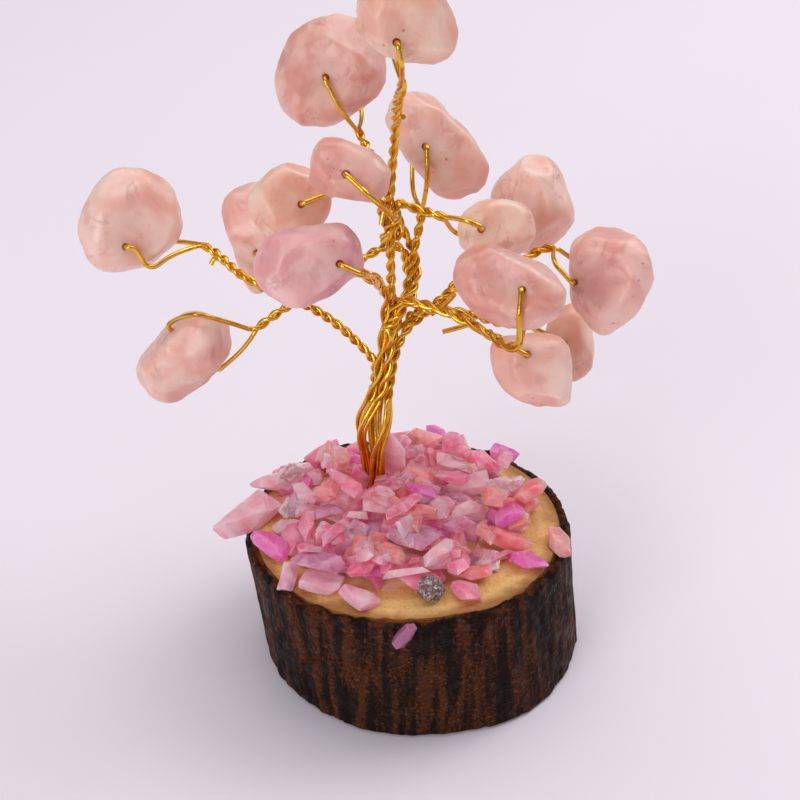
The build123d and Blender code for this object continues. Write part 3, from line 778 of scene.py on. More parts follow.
@dataclass
class WireTree:
    """The tree's wires: six twisted pairs bundled into the trunk, and nine bound to them."""

    finish: BrassWire
    stems: tuple[Stem, ...]
    wire_radius: float = 0.25 * MM
    crown_reach: float = 30 * MM
    crown_height: float = 44 * MM
    column: tuple[Shares, ...] = (
        (-0.118, 0.210, 0.091), (-0.103, 0.187, 0.182), (-0.107, 0.165, 0.330), (-0.110, 0.150, 0.420))
    column_ring: float = 0.45 * MM
    column_slots: int = 3
    foot: Vector = Vector((-5.0, 5.2, 6.7)) * MM
    slice_height: float = 14.6 * MM
    fork: Vector = Vector((-3.8, 6.7, 31.0)) * MM
    trunk_twist: float = 200.0
    trunk_slots: int = 6
    trunk_steps: int = 14
    foot_ring: float = 0.58 * MM
    bow: float = 0.80 * MM
    bow_rise: float = 7.6 * MM
    bow_length: float = 4.2 * MM
    fork_ring: float = 0.95 * MM
    bulb_rise: float = 8.9 * MM
    bulb_length: float = 2.5 * MM
    bulb_swell: float = 0.85 * MM
    front_parting: float = 0.55
    back_parting: float = 0.3
    twist_from: float = 26.5 * MM
    bound_ring: float = 0.84 * MM
    bound_turns: float = 0.5
    bound_steps: int = 18
    crotch_gap: float = 1.05 * MM
    leg_gap: float = 0.52 * MM
    shoulder: float = 0.82
    skew_shoulder: float = 0.75
    sag_share: float = 0.5
    lip: float = 0.8 * MM
    entry: float = 0.5 * MM
    wander: float = 0.15
    wander_length: float = 2.2 * MM
    seam_reach: int = 4
    lead: float = 1.3 * MM
    front: Vector = Vector((0.0, -0.86, 0.51))
    sector: float = 24.0
    step: float = 0.20 * MM

    def __post_init__(self) -> None:
        """Index the stems by name and keep the middle lines that other stems are bound to."""
        self.by_name = {stem.name: stem for stem in self.stems}
        self.lines: dict[str, list[Vector]] = {}

    def crown_point(self, shares: Shares) -> Vector:
        """A point of the crown from its shares of the reach and of the height above the fork."""
        across = Vector((shares[0], shares[1], 0)) * self.crown_reach
        return across + UP * (self.fork.z + shares[2] * self.crown_height)

    def hump(self, height: float, rise: float, length: float) -> float:
        """A smooth hump along the trunk: 1 at a rise above the slice, and fading over a length."""
        return math.exp(-(((height - self.slice_height - rise) / length) ** 2))

    def trunk_points(self, slot: int) -> list[Vector]:
        """A stem's way up the trunk: round the bundle, and parted to one side at the bulb.

        Args:
            slot: Its slot in the ring at the fork.

        Returns:
            Its control points, from the hole's floor to the fork.
        """
        points = []
        for number in range(self.trunk_steps + 1):
            share = number / self.trunk_steps
            height = self.foot.z + (self.fork.z - self.foot.z) * share
            lean = max(0.0, (height - self.slice_height) / (self.fork.z - self.slice_height))
            middle = self.foot.lerp(self.fork, lean)
            swell = self.hump(height, self.bulb_rise, self.bulb_length)
            ring = self.foot_ring + (self.fork_ring - self.foot_ring) * share + self.bulb_swell * swell
            angle = math.tau * slot / self.trunk_slots - math.radians(self.trunk_twist) * (1 - share)
            across, along = math.cos(angle), math.sin(angle)
            parted = self.back_parting * across
            if along < 0:
                parted = math.copysign(self.front_parting + (1 - self.front_parting) * abs(across), across)
            across += (parted - across) * swell * abs(along)
            bow = self.bow * self.hump(height, self.bow_rise, self.bow_length)
            points.append(Vector((middle.x + across * ring - bow, middle.y + along * ring, height)))
        return points

    def branch_points(self, stem: Stem) -> list[Vector]:
        """A stem's control points above the trunk: up the column if it is in it, and out to its stone."""
        slot, count = stem.column
        angle = math.tau * (slot / self.column_slots + 1 / 4)
        offset = Vector((math.cos(angle), math.sin(angle), 0)) * self.column_ring
        column = [self.crown_point(shares) + offset for shares in self.column[:count]]
        return column + [self.crown_point(shares) for shares in stem.via]

    def bound_points(self, stem: Stem) -> list[Vector]:
        """The start of a stem that is wound round another one.

        Args:
            stem: The bound stem.

        Returns:
            Its control points, round and round the carrier's middle line.
        """
        carrier, first, last = stem.bound
        points = self.branch_points(self.by_name[carrier])
        marks = (points[first], points[last])
        line = self.lines[carrier]
        ends = [min(range(len(line)), key=lambda i: (line[i] - mark).length) for mark in marks]
        points = []
        for number in range(self.bound_steps + 1):
            share = number / self.bound_steps
            index = round(ends[0] + (ends[1] - ends[0]) * share)
            along = (line[index + 1] - line[index - 1]).normalized()
            side = Vector(stem.side)
            side = (side - along * side.dot(along)).normalized()
            turn = Matrix.Rotation((share - 1) * math.tau * self.bound_turns, 3, along)
            points.append(line[index] + turn @ side * self.bound_ring)
        return points

    def twisted(self, stem: Stem, line: Sequence[Vector], start: int, axis: Vector) -> tuple[list, list]:
        """The two wires of a twisted pair about a middle line.

        Args:
            stem: The stem, for its twist.
            line: The middle line, at even steps.
            start: Where on the line the twist starts; below it the wires lie side by side.
            axis: Across the loop's two legs, where the twist ends.

        Returns:
            The two wires' lines.
        """
        last = len(line) - 1
        tangents = [(line[min(i + 1, last)] - line[max(i - 1, 0)]).normalized() for i in range(last + 1)]
        across = tangents[0].cross(line[0] - Vector((self.foot.x, self.foot.y, line[0].z))).normalized()
        normals = []
        for tangent in tangents:
            across = (across - tangent * across.dot(tangent)).normalized()
            normals.append(across)
        binormal = tangents[-1].cross(normals[-1])
        wanted = math.atan2(axis.dot(binormal), axis.dot(normals[-1]))
        length = (last - start) * self.step
        total = wanted + math.tau * round((math.tau * length / stem.pitch - wanted) / math.tau)
        first, second = [], []
        for index, (point, tangent, normal) in enumerate(zip(line, tangents, normals)):
            share = max(0, index - start) / max(1, last - start)
            offset = Matrix.Rotation(total * share, 3, tangent) @ normal
            wander = 1 + self.wander * noise.noise(point / self.wander_length)
            spread = stem.slack * wander if share < 1 else self.wire_radius
            first.append(point + offset * spread)
            second.append(point - offset * spread)
        return first, second

    def loop(
        self, stem: Stem, joint: StoneJoint, crotch: Vector, away: Vector, reach: float
    ) -> list[Vector]:
        """The single wire round a stone's edge and through its bore.

        Args:
            stem: The stem, for its skew and sags.
            joint: Where the stone hangs.
            crotch: Where the two legs meet.
            away: From the bore to the crotch, along the stone's faces.
            reach: How far the stone's edge lies that way.

        Returns:
            The wire's points, from the crotch and back to it.
        """
        height = joint.half_depth + self.leg_gap
        sides = []
        for side in (1, -1):
            lift = joint.axis * side
            shoulder = reach * (self.shoulder + self.skew_shoulder * max(0.0, -side * stem.skew))
            mouth = joint.centre + lift * height
            leg = [crotch + lift * self.wire_radius, mouth + away * shoulder]
            if stem.sags and lift.dot(self.front) > 0:
                leg[1] += Vector(stem.sags[0]) * MM
                leg.append(mouth + away * shoulder * self.sag_share + Vector(stem.sags[1]) * MM)
            leg += [mouth + away * self.lip, mouth, joint.centre + lift * (joint.half_depth - self.entry)]
            sides.append(leg)
        return smooth_line(sides[0] + sides[1][::-1], self.step)

    def tail_line(self, tail: Tail, line: Sequence[Vector], start: int) -> list[Vector]:
        """A cut end: along the stem for a little, then out of it."""
        index = round(start + (len(line) - 2 - start) * tail.share)
        along = (line[index + 1] - line[index - 1]).normalized()
        out = Vector(tail.out)
        out = (out - along * out.dot(along) * tail.squared).normalized()
        base = line[index] + out * tail.start
        tip = (tail.drift, tail.rise + tail.length)
        steps = (tail.root, tail.bend, (0.0, tail.rise), tip)
        return smooth_line([base + along * on + out * off for on, off in steps], self.step)

    def build_stem(self, stem: Stem, material: Material) -> None:
        """Make one wire from its foot round its stone and back, and its cut ends."""
        joint = StoneJoint.of(stem.name)
        away = joint.towards(stem.angle)
        reach = joint.reach(stem.angle, self.sector)
        skew = joint.axis * stem.skew * 2 * joint.half_depth
        crotch = joint.centre + away * (reach + self.crotch_gap) + skew
        points = self.bound_points(stem) if stem.bound else self.trunk_points(stem.slot)
        points += self.branch_points(stem)
        lead = (away + (points[-1] - crotch).normalized()).normalized()
        points += [crotch + lead * self.lead, crotch]
        line = smooth_line(points, self.step)
        self.lines[stem.name] = line
        start = 0
        if stem.slot is not None:
            start = min(range(len(line)), key=lambda i: abs(line[i].z - self.twist_from))
        first, second = self.twisted(stem, line, start, joint.axis)
        wire = first[:-1] + self.loop(stem, joint, crotch, away, reach) + second[-2::-1]
        seam = len(first) - 1
        for _ in range(self.seam_reach):
            for centre in (seam, len(wire) - seam):
                for index in range(centre - self.seam_reach, centre + self.seam_reach):
                    wire[index] = (wire[index - 1] + wire[index] * 2 + wire[index + 1]) / 4
        wires = [wire] + [self.tail_line(tail, line, start) for tail in stem.tails]
        wires += [smooth_line([self.crown_point(p) for p in stray], self.step) for stray in stem.strays]
        mesh = curve_mesh(
            stem.name, "POLY", wires, bevel_depth=self.wire_radius, bevel_resolution=2, use_fill_caps=True)
        piece = add_piece(f"wire_{stem.name}", mesh, material, sharp=50)
        dress(piece, f"stem_{stem.name}")

    def build(self) -> None:
        """Make every stem, the trunk's own first."""
        material = self.finish.material("brass_wire")
        for stem in sorted(self.stems, key=lambda s: s.bound is not None):
            self.build_stem(stem, material)


@dataclass(frozen=True)
class Relief:
    """A layer of relief round the branch: how close its lobes lie, how long they are, and how high."""

    lobes: float
    length: float
    height: float
    shift: Shares = (0.0, 0.0, 0.0)

    def at(self, angle: float, height: float) -> float:
        """The layer's noise at an angle and a height, about -1 to 1."""
        around = Vector((math.cos(angle), math.sin(angle), 0)) * self.lobes
        return noise.noise(around + UP * height / self.length + Vector(self.shift))


@dataclass
class BranchSlice:
    """The slice of a branch: a sawn core and its ribbed bark, both following the same uneven outline."""

    wood: SawnWood
    bark: BranchBark
    radius: float = 17.3 * MM
    height: float = 14.6 * MM
    lean: float = 1.6 * MM
    bark_depth: float = 1.1 * MM
    hole_radius: float = 1.3 * MM
    hole_depth: float = 8.0 * MM
    hole: Vector = Vector((-4.8, 5.2, 0.0)) * MM
    segments: int = 360
    rows: int = 44
    side_shares: Shares = (0.25, 0.5, 0.75)
    face_rings: tuple[float, ...] = (0.95, 0.87, 0.76, 0.62, 0.45, 0.25)
    face_edge: Span = (0.15 * MM, 0.12 * MM)
    face_relief: Span = (5.0 * MM, 0.10 * MM)
    face_tolerance: float = 0.01 * MM
    rim_wear: float = 0.35 * MM
    rim_inside: Span = (0.3 * MM, 0.1 * MM)
    rim_depth: float = 1.2 * MM
    rim_chip: float = 0.5 * MM
    rim_rise: float = 0.12 * MM
    chip_sizes: Span = (1.6 * MM, 0.6 * MM)
    fine_chip: float = 0.6
    fine_shift: float = 5.0 * MM
    grain: float = 0.42 * MM
    uneven: Relief = Relief(1.6, 40 * MM, 0.45 * MM)
    ribs: Relief = Relief(0.27 * radius / grain, 9 * MM, 0.22 * MM)
    cracks: Relief = Relief(0.62 * radius / grain, 3.2 * MM, 0.35 * MM, (7, 3, 1))
    crack_share: float = 0.18
    scales: Relief = Relief(radius / grain, 0.9 * MM, 0.05 * MM)
    swell: float = 0.15 * MM
    bulge: float = 0.35 * MM

    def outline(self, angle: float, height: float) -> float:
        """How far the branch's surface stands out of the round at an angle and a height."""
        uneven = self.uneven.at(angle, height) * self.uneven.height
        return uneven + self.swell + self.bulge * math.cos(angle)

    def rib(self, angle: float, height: float) -> float:
        """How far the bark's ribs and cracks stand out there."""
        crack = min(0.0, self.cracks.at(angle, height) + self.crack_share) * self.cracks.height
        layers = [layer.at(angle, height) * layer.height for layer in (self.ribs, self.scales)]
        return crack + sum(layers)

    def lathe(self, profile: Sequence[Span], move: Callable[[Vector, float], float]) -> BMesh:
        """Spin a profile about the slice's axis, shape it and lean it.

        Args:
            profile: Radius and height pairs.
            move: How far out a point goes, from its place and angle.

        Returns:
            The shape, closed where the profile is.
        """
        shape = spun(profile, self.segments)
        for vertex in shape.verts:
            flat = Vector((vertex.co.x, vertex.co.y, 0))
            if flat.length > self.hole_radius * 2:
                vertex.co += flat.normalized() * move(vertex.co, math.atan2(flat.y, flat.x))
        for vertex in shape.verts:
            vertex.co.x -= self.lean * vertex.co.z / self.height
        return shape

    def build_core(self) -> None:
        """Make the sawn core, with a slightly uneven face and the trunk's hole."""
        edge = self.radius - self.bark_depth
        top = self.height
        inset, drop = self.face_edge
        profile = [(0, 0), (edge / 2, 0), (edge, 0)]
        profile += [(edge, top * share) for share in self.side_shares]
        profile += [(edge, top - drop), (edge - inset, top)]
        profile += [(edge * share, top) for share in self.face_rings] + [(0, top)]
        shape = self.lathe(profile, lambda place, angle: self.outline(angle, place.z))
        size, height = self.face_relief
        for vertex in shape.verts:
            if vertex.co.z > top - self.face_tolerance:
                vertex.co.z += noise.noise(vertex.co / size) * height
        drill = bmesh.new()
        bmesh.ops.create_cone(
            drill, cap_ends=True, segments=32, radius1=self.hole_radius, radius2=self.hole_radius,
            depth=2 * self.hole_depth, matrix=Matrix.Translation(self.hole + UP * top))
        piece = add_piece("sawn_core", drilled(shape, drill), self.wood.material("sawn_wood"), sharp=40)
        dress(piece, "wood_slice")

    def bark_move(self, place: Vector, angle: float) -> float:
        """The bark's own relief: ribs on its outside, a chipped rim, and the core's outline inside."""
        move = self.outline(angle, place.z)
        inside = self.radius - self.bark_depth
        outer = (Vector((place.x, place.y)).length - inside) / self.bark_depth
        return move + self.rib(angle, place.z) * max(0.0, outer)

    def build_bark(self) -> None:
        """Make the ring of bark with its ribs, and a rim that is chipped along its top."""
        inner = self.radius - self.bark_depth
        wear = self.rim_wear
        profile = [(inner, 0), (self.radius - wear, 0), (self.radius, wear)]
        span = self.height - 2 * wear
        profile += [(self.radius, wear + span * row / self.rows) for row in range(1, self.rows + 1)]
        width, drop = self.rim_inside
        profile += [(self.radius - wear, self.height), (inner + width, self.height)]
        profile += [(inner, self.height - drop)]
        profile += [(inner, self.height * share) for share in self.side_shares[::-1]] + [(inner, 0)]
        shape = self.lathe(profile, self.bark_move)
        coarse, fine = self.chip_sizes
        for vertex in shape.verts:
            rim = max(0.0, (vertex.co.z - self.height + self.rim_depth) / self.rim_depth)
            flat = Vector((vertex.co.x, vertex.co.y, 0))
            chip = noise.noise(flat / coarse)
            chip += self.fine_chip * noise.noise((flat + UP * self.fine_shift) / fine)
            vertex.co.z += rim * min(self.rim_rise, chip * self.rim_chip - self.rim_rise)
        material = self.bark.material("branch_bark")
        piece = add_piece("ribbed_bark", mesh_of(shape, "bark"), material, sharp=60)
        dress(piece, "bark_ring")


def core_tree() -> BVHTree:
    """The sawn core, for finding what lies on it."""
    return BVHTree.FromObject(bpy.data.objects["sawn_core"], bpy.context.evaluated_depsgraph_get())


@dataclass(frozen=True)
class Splinter:
    """A long chip that stands by the trunk's foot, with its tilt and heading in degrees."""

    hue: str
    place: Shares
    length: float
    tilt: float
    heading: float

    def standing(self, flake: BMesh) -> BMesh:
        """Stand a lying flake up in its place."""
        turn = Matrix.Rotation(math.radians(self.heading), 4, "Z")
        turn = turn @ Matrix.Rotation(math.radians(self.tilt), 4, "Y")
        place = Matrix.Translation(Vector(self.place) * MM)
        bmesh.ops.transform(flake, matrix=place @ turn, verts=flake.verts)
        return flake


@dataclass
class CrushedBed:
    """The crushed stone on the slice: chips by hue, flakes among them, clear glue and a crumb of rock."""

    hues: dict[str, CrushedStone]
    splinters: tuple[Splinter, ...]
    glue: ClearGlue
    rock: CrumbRock
    bevel: float = 0.07 * MM
    bed_height: float = 14.0 * MM
    flatness: float = 0.62
    wide_length: float = 5.0 * MM
    longest_fall: float = 1.2 * MM
    rim_reach: float = 16.0 * MM
    bark_lift: float = 1.0 * MM
    corners: int = 4
    corner_share: Span = (0.60, 0.90)
    flakes: int = 180
    flake_sizes: Span = (3.0 * MM, 6.2 * MM)
    flake_corners: tuple[int, int] = (4, 6)
    flake_width: Span = (0.40, 0.75)
    flake_thickness: Span = (0.12, 0.24)
    flake_reach: Span = (0.38, 0.55)
    flake_wobble: Span = (-0.3, 0.3)
    flake_below: Span = (0.1, 0.4)
    flake_above: Span = (0.4, 0.7)
    flake_top: Span = (0.45, 0.85)
    flake_tilt: float = 0.35
    flake_rise: float = 0.08
    ripples: tuple[Span, ...] = ((1.9 * MM, 0.14 * MM), (0.7 * MM, 0.05 * MM))
    glue_rings: tuple[float, ...] = (0.22, 0.10, 0.048, 0.024)
    glue_thickness: float = 0.25 * MM
    glue_crown: float = 0.3 * MM
    glue_edge: Span = (3.0 * MM, 0.10)
    glue_relief: Span = (2.0 * MM, 0.12 * MM)
    crumb_growth: float = 1.3
    crumb_lumps: tuple[Span, ...] = (
        (1.6 * MM, 0.70 * MM), (0.35 * MM, 0.24 * MM), (0.14 * MM, 0.14 * MM))
    heap_radius: float = 13.0 * MM
    drop_height: float = 60.0 * MM
    middle: Vector = Vector((-2.0, 1.2, 0.0)) * MM
    shares: tuple[float, ...] = (0.40, 0.26, 0.22, 0.06, 0.06)
    seed: int = 5

    def split(self, shape: BMesh, rng: random.Random) -> None:
        """Break corners off a chip, unless it hangs over the rim, where the whole length shows."""
        middle = middle_of(shape)
        overhangs = (middle - self.middle).xy.length > self.rim_reach
        for _ in range(0 if overhangs else self.corners):
            normal = Vector((rng.gauss(0, 1), rng.gauss(0, 1), rng.gauss(0, 1))).normalized()
            grind(shape, middle, normal, rng.uniform(*self.corner_share))
        bmesh.ops.recalc_face_normals(shape, faces=shape.faces)

    def flatten(self, shape: BMesh) -> None:
        """Make a chip a shard: low, narrow if it is long, and still lying on what it lay on."""
        floor = min(v.co.z for v in shape.verts)
        ends = max(combinations(shape.verts, 2), key=lambda pair: (pair[0].co - pair[1].co).length)
        along = ends[1].co - ends[0].co
        across = along.cross(UP).normalized()
        narrowing = max(0.0, 1 - self.wide_length / along.length)
        middle = middle_of(shape)
        for vertex in shape.verts:
            vertex.co.z = floor + (vertex.co.z - floor) * self.flatness
            vertex.co -= across * (vertex.co - middle).dot(across) * narrowing

    def loose_parts(self, shape: BMesh) -> list[BMesh]:
        """The separate chips of a mesh, each as a mesh of its own."""
        parts = []
        seen = set()
        for first in shape.verts:
            if first in seen:
                continue
            group = [first]
            seen.add(first)
            for vertex in group:
                for edge in vertex.link_edges:
                    other = edge.other_vert(vertex)
                    if other not in seen:
                        seen.add(other)
                        group.append(other)
            part = bmesh.new()
            copies = {vertex: part.verts.new(vertex.co) for vertex in group}
            for face in dict.fromkeys(face for vertex in group for face in vertex.link_faces):
                part.faces.new([copies[vertex] for vertex in face.verts])
            parts.append(part)
        return parts

    def broken(self, hue: str) -> list[BMesh]:
        """A hue's chips, broken sharper and thinner than their solids; one on the bark stays whole."""
        rng = random.Random(hue)
        plain = merged_copy(f"chips_{hue}")
        bmesh.ops.dissolve_limit(plain, angle_limit=math.radians(2), verts=plain.verts, edges=plain.edges)
        parts = self.loose_parts(plain)
        plain.free()
        for part in parts:
            if middle_of(part).z < self.bed_height:
                bmesh.ops.translate(part, vec=UP * self.bark_lift, verts=part.verts)
                continue
            self.split(part, rng)
            self.flatten(part)
        return parts

    def settle(self, parts: Iterable[BMesh]) -> None:
        """Let thinned chips down, the lowest first, until each lies on the wood or on another chip."""
        trees = [core_tree()]
        for part in sorted(parts, key=lambda p: min(v.co.z for v in p.verts)):
            falls = [self.longest_fall]
            for vertex in part.verts:
                hits = [tree.ray_cast(vertex.co, -UP) for tree in trees]
                falls += [hit[3] for hit in hits if hit[3] is not None]
            if len(falls) > 1:
                bmesh.ops.translate(part, vec=-UP * min(falls), verts=part.verts)
            trees.append(BVHTree.FromBMesh(part))

    def finished(self, hue: str, parts: Iterable[BMesh]) -> BMesh:
        """A hue's chips in one mesh, with bevelled edges and rippled faces."""
        rng = random.Random(hue)
        whole = bmesh.new()
        for part in parts:
            bmesh.ops.bevel(
                part, geom=part.edges, offset=self.bevel, affect="EDGES", segments=1, profile=0.5,
                material=-1, clamp_overlap=True)
            absorb(whole, part)
        bmesh.ops.triangulate(whole, faces=whole.faces)
        bmesh.ops.subdivide_edges(whole, edges=whole.edges, cuts=1, use_grid_fill=True)
        roughen(whole, *self.ripples, shift=Vector((rng.random(), 0, 0)))
        return whole

    def flake(self, rng: random.Random, size: float) -> BMesh:
        """A thin splinter: a long uneven plate whose upper face is smaller than its lower one."""
        shape = bmesh.new()
        corners = rng.randint(*self.flake_corners)
        width = rng.uniform(*self.flake_width)
        thick = size * rng.uniform(*self.flake_thickness)
        for corner in range(corners):
            angle = math.tau * (corner + rng.uniform(*self.flake_wobble)) / corners
            out = Vector((math.cos(angle), math.sin(angle) * width, 0)) * size
            out *= rng.uniform(*self.flake_reach)
            shape.verts.new(out - UP * thick * rng.uniform(*self.flake_below))
            upper = out * rng.uniform(*self.flake_top)
            shape.verts.new(upper + UP * thick * rng.uniform(*self.flake_above))
        wrap(shape)
        bmesh.ops.recalc_face_normals(shape, faces=shape.faces)
        return shape

    def scatter(self, shapes: dict[str, BMesh]) -> None:
        """Drop small flakes on the chips, each sunk a little into what it lies on.

        Args:
            shapes: The chips by hue, which the flakes are added to.
        """
        rng = random.Random(self.seed)
        trees = [BVHTree.FromBMesh(shape) for shape in shapes.values()]
        trees.append(core_tree())
        names = list(shapes)
        for _ in range(self.flakes):
            angle = rng.uniform(0, math.tau)
            out = self.heap_radius * math.sqrt(rng.random())
            above = self.middle + Vector((math.cos(angle) * out, math.sin(angle) * out, self.drop_height))
            hits = [tree.ray_cast(above, -UP) for tree in trees]
            hits = [hit for hit in hits if hit[0] is not None]
            place, normal = max(hits, key=lambda hit: hit[0].z)[:2]
            size = rng.uniform(*self.flake_sizes)
            flake = self.flake(rng, size)
            lie = UP.rotation_difference((normal + UP).normalized()).to_matrix().to_4x4()
            heading = Matrix.Rotation(rng.uniform(0, math.tau), 4, "Z")
            tilt = Matrix.Rotation(rng.gauss(0, self.flake_tilt), 4, "X")
            rest = Matrix.Translation(place + UP * size * self.flake_rise)
            bmesh.ops.transform(flake, matrix=rest @ lie @ heading @ tilt, verts=flake.verts)
            absorb(shapes[rng.choices(names, self.shares)[0]], flake)
        for splinter in self.splinters:
            absorb(shapes[splinter.hue], splinter.standing(self.flake(rng, splinter.length)))

    def build_glue(self) -> None:
        """Make the film of glue under the chips, with an uneven edge and surface."""
        low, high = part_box("glue_bed")
        middle = (low + high) / 2
        radius = (high.x - low.x) / 2
        shape = bmesh.new()
        bmesh.ops.create_circle(shape, cap_ends=True, radius=radius, segments=160)
        for share in self.glue_rings:
            widest = max(shape.faces, key=lambda f: f.calc_area())
            bmesh.ops.inset_individual(shape, faces=[widest], thickness=radius * share)
        bmesh.ops.translate(shape, vec=middle - UP * (middle.z - low.z), verts=shape.verts)
        wave, share = self.glue_edge
        size, height = self.glue_relief
        for vertex in shape.verts:
            flat = vertex.co - Vector((middle.x, middle.y, vertex.co.z))
            edge = flat.length / radius
            vertex.co -= flat * share * (1 + noise.noise(vertex.co / wave)) * edge
            vertex.co.z += (1 - edge) * self.glue_crown + noise.noise(vertex.co / size) * height
        solidify = ("SOLIDIFY", {"thickness": self.glue_thickness, "offset": 0.0})
        mesh = applied(mesh_of(shape, "glue"), solidify)
        piece = add_piece("glue_film", mesh, self.glue.material("clear_glue"))
        dress(piece, "glue_bed")

    def build_crumb(self) -> None:
        """Make the crumb of dark rock on the sawn face."""
        low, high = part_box("rock_crumb")
        shape = bmesh.new()
        bmesh.ops.create_icosphere(shape, subdivisions=5, radius=0.5)
        bmesh.ops.scale(shape, vec=(high - low) * self.crumb_growth, verts=shape.verts)
        bmesh.ops.translate(shape, vec=(low + high) / 2, verts=shape.verts)
        roughen(shape, *self.crumb_lumps)
        piece = add_piece("dark_crumb", mesh_of(shape, "crumb"), self.rock.material("crumb_rock"))
        dress(piece, "rock_crumb")

    def build(self) -> None:
        """Make the chips hue by hue, then the glue and the crumb."""
        broken = {hue: self.broken(hue) for hue in self.hues}
        self.settle(part for parts in broken.values() for part in parts)
        shapes = {hue: self.finished(hue, parts) for hue, parts in broken.items()}
        self.scatter(shapes)
        for hue, shape in shapes.items():
            name = f"crushed_{hue}"
            piece = add_piece(name, mesh_of(shape, hue), self.hues[hue].material(name), sharp=28)
            dress(piece, f"chips_{hue}")
        self.build_glue()
        self.build_crumb()


@dataclass(frozen=True)
class SoftLight:
    """A soft square light that faces the tree: where it hangs, its side and its power."""

    name: str
    place: Shares
    side: float
    power: float


@dataclass
class Studio:
    """The pale floor, the soft lights and the camera at the photograph's angle."""

    floor_colour: Colour = srgb(243, 236, 245)
    floor_radius: float = 3.0
    light_colour: Shares = (1.0, 0.98, 0.98)
    lights: tuple[SoftLight, ...] = (
        SoftLight("top", (0.00, 0.40, 1.20), 1.4, 7.6), SoftLight("key", (0.50, 0.30, 0.60), 0.40, 2.0),
        SoftLight("fill", (-0.50, -0.75, 0.38), 0.45, 3.4))
    sky_colour: Colour = (0.90, 0.87, 0.93, 1)
    sky_strength: float = 0.34
    target: Vector = Vector((-2.2, 0.0, 29.9)) * MM
    distance: float = 150 * MM
    elevation: float = 30.6
    focal_pixels: float = 1466.0
    frame_pixels: float = 800.0
    sensor: float = 36.0

    def build_floor(self) -> None:
        """Lay the floor, a wide rounded sheet under the object."""
        graph = Graph("pale_floor")
        tone = graph.noise(graph.place(), 60, 2)
        material = graph.shade(
            Base_Color=graph.mix(tone * 0.25, self.floor_colour, srgb(236, 228, 240)), Roughness=0.7)
        shape = bmesh.new()
        bmesh.ops.create_circle(shape, cap_ends=True, radius=self.floor_radius, segments=64)
        floor = add_piece("floor", mesh_of(shape, "floor"), material)

    def build_light(self, light: SoftLight) -> None:
        """Hang a light and turn it to the tree."""
        lamp = bpy.data.lights.new(light.name, "AREA")
        lamp.size = light.side
        lamp.energy = light.power
        lamp.color = self.light_colour
        hung = bpy.data.objects.new(light.name, lamp)
        hung.location = light.place
        hung.rotation_euler = (self.target - hung.location).to_track_quat("-Z", "Y").to_euler()
        bpy.context.scene.collection.objects.link(hung)

    def build_camera(self) -> None:
        """Set the camera where the photograph was taken from."""
        tilt = math.radians(self.elevation)
        lens = bpy.data.cameras.new("camera")
        lens.sensor_width = self.sensor
        lens.sensor_fit = "HORIZONTAL"
        lens.lens = self.focal_pixels / self.frame_pixels * self.sensor
        lens.clip_start = 0.01
        camera = bpy.data.objects.new("camera", lens)
        camera.location = self.target + Vector((0, -math.cos(tilt), math.sin(tilt))) * self.distance
        camera.rotation_euler = (self.target - camera.location).to_track_quat("-Z", "Y").to_euler()
        bpy.context.scene.collection.objects.link(camera)
        bpy.context.scene.camera = camera

    def build(self) -> None:
        """Make the floor, the lights, the sky and the camera."""
        self.build_floor()
        for light in self.lights:
            self.build_light(light)
        world = bpy.data.worlds.new("sky")
        world.use_nodes = True
        background = world.node_tree.nodes["Background"]
        background.inputs["Color"].default_value = self.sky_colour
        background.inputs["Strength"].default_value = self.sky_strength
        bpy.context.scene.world = world
        bpy.context.scene.view_settings.view_transform = "Standard"
        self.build_camera()


STONES = {
    "top": RoseQuartz(*PEACH, 3.0),
    "top_left": RoseQuartz(*ROSE, 11.0),
    "upper_right": RoseQuartz(*PALE, 23.0),
    "right_back": RoseQuartz(*PALE, 31.0),
    "right_front": RoseQuartz(*PEACH, 47.0),
    "centre_right": RoseQuartz(*ROSE, 53.0),
    "far_right": RoseQuartz(*PINK, 61.0),
    "lower_right": RoseQuartz(*PALE, 71.0),
    "low_right_back": RoseQuartz(*PEACH, 83.0),
    "far_left": RoseQuartz(*PALE, 97.0),
    "low_left": RoseQuartz(*PALE, 103.0),
    "upper_left": RoseQuartz(*ROSE, 113.0),
    "mid_left": RoseQuartz(*PEACH, 127.0),
    "front_left": RoseQuartz(*BLUSH, 131.0, blush_share=0.6),
    "back_left": RoseQuartz(*PINK, 149.0),
}

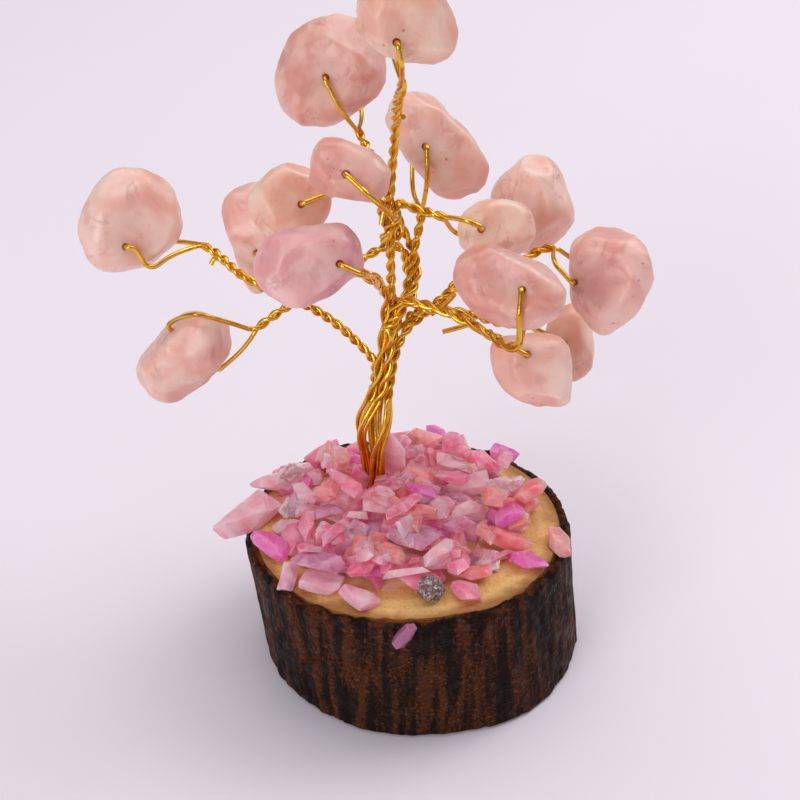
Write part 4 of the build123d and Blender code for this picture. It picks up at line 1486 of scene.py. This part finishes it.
STEMS = (
    Stem("far_right", ((-0.057, 0.283, 0.059), (0.033, 0.320, 0.098), (0.100, 0.337, 0.148),
                       (0.300, 0.315, 0.199)), 144, -0.15, slot=0),
    Stem("upper_right", ((-0.083, 0.297, 0.064), (-0.058, 0.323, 0.126), (-0.028, 0.347, 0.238)), 263, 0.15,
         slot=1),
    Stem("top", ((-0.090, 0.135, 0.582), (-0.080, 0.000, 0.705)), 280, 0.10, slot=2, column=(0, 4),
         tails=(Tail(0.80, (0.5, -1.0, 0.3), 0.5 * MM),), strays=(
             ((-0.119, 0.133, 0.427), (-0.129, 0.120, 0.407), (-0.135, 0.107, 0.385)),
             ((-0.133, 0.193, 0.030), (-0.105, 0.167, 0.061), (-0.104, 0.167, 0.091),
              (-0.129, 0.187, 0.102)))),
    Stem("far_left", ((-0.347, 0.245, 0.126), (-0.592, 0.198, 0.211)), 350, 0.15, slot=3, pitch=2.6 * MM,
         sags=((-1.2, -0.2, -0.4), (-0.9, -0.4, -2.6)), tails=(Tail(0.95, (0.2, -0.6, -1.0), 0.8 * MM),)),
    Stem("front_left", ((-0.145, 0.060, 0.250),), 330, -0.10, slot=4, column=(1, 2), pitch=6.0 * MM,
         slack=0.30 * MM),
    Stem("centre_right", ((0.030, 0.075, 0.195), (0.190, -0.045, 0.182)), 272, 0.10, slot=5, column=(2, 2),
         pitch=4.6 * MM, slack=0.29 * MM, strays=(
             ((0.154, 0.033, 0.160), (0.112, 0.027, 0.153), (0.068, 0.020, 0.147)),
             ((0.066, 0.053, 0.200), (0.092, 0.033, 0.222), (0.104, 0.000, 0.248)))),
    Stem("back_left", ((-0.217, 0.233, 0.228), (-0.333, 0.350, 0.228)), 350, -0.15,
         bound=("top", 0, 1), side=(-0.50, 0.87, 0.00)),
    Stem("lower_right", ((0.030, 0.115, 0.180), (0.160, 0.040, 0.168)), 151, 0.10,
         bound=("centre_right", 0, 1), side=(0.89, 0.45, 0.00)),
    Stem("upper_left", (), 323, -0.10, pitch=6.0 * MM, bound=("top", 2, 3), side=(-0.50, -0.87, 0.00)),
    Stem("mid_left", ((-0.180, 0.233, 0.415),), 13, -0.20, bound=("top", 2, 3), side=(-0.87, 0.50, 0.00)),
    Stem("right_front", ((0.000, 0.167, 0.400),), 150, 0.10, bound=("top", 2, 3), side=(0.94, 0.34, 0.00)),
    Stem("top_left", ((-0.075, 0.353, 0.318), (-0.130, 0.360, 0.412), (-0.165, 0.500, 0.434)), 301, 0.25,
         bound=("upper_right", 1, 2), side=(0.00, 0.99, -0.14),
         tails=(Tail(0.93, (-0.2, -1.0, 0.4), 0.5 * MM),)),
    Stem("low_left", ((-0.087, 0.363, 0.257), (-0.143, 0.393, 0.241), (-0.430, 0.370, 0.114)), 90, 0.45,
         sags=((0.0, -3.0, -1.0), (0.0, -1.6, 0.0)), bound=("upper_right", 1, 2), side=(-0.98, 0.00, 0.18)),
    Stem("right_back", ((0.220, 0.420, 0.190),), 235, -0.10,
         bound=("far_right", 1, 2), side=(-0.20, 0.97, -0.10)),
    Stem("low_right_back", ((0.140, 0.310, 0.100), (0.290, 0.330, 0.054)), 162, 0.20,
         bound=("far_right", 0, 1), side=(0.29, -0.79, 0.54)),
)

HUES = {
    "rose": CrushedStone(srgb(255, 168, 190), srgb(244, 110, 146), 0.08, 2.0),
    "pale": CrushedStone(srgb(255, 206, 214), srgb(252, 168, 186), 0.14, 9.0),
    "peach": CrushedStone(srgb(255, 172, 168), srgb(244, 120, 126), 0.08, 17.0),
    "smoky": CrushedStone(srgb(226, 164, 192), srgb(188, 118, 150), 0.14, 29.0),
    "magenta": CrushedStone(srgb(250, 142, 204), srgb(230, 92, 172), 0.08, 37.0),
}

SPLINTERS = (
    Splinter("rose", (-6.7, 4.3, 17.4), 6.4 * MM, 76, 95),
    Splinter("pale", (-3.2, 6.8, 19.2), 6.8 * MM, 82, 80),
    Splinter("smoky", (-4.4, 3.8, 17.0), 4.4 * MM, 64, 90),
    Splinter("pale", (-2.2, 7.4, 19.6), 5.0 * MM, 70, 120),
)


def main() -> None:
    """Build the studio and the tree."""
    logging.basicConfig(level=logging.INFO, format="%(message)s")
    Studio().build()
    branch = BranchSlice(SawnWood(), BranchBark())
    branch.build_core()
    branch.build_bark()
    WireTree(BrassWire(), STEMS).build()
    for name, finish in STONES.items():
        TumbledStone(name, finish).build()
    CrushedBed(HUES, SPLINTERS, ClearGlue(), CrumbRock()).build()


if __name__ == "__main__":
    main()
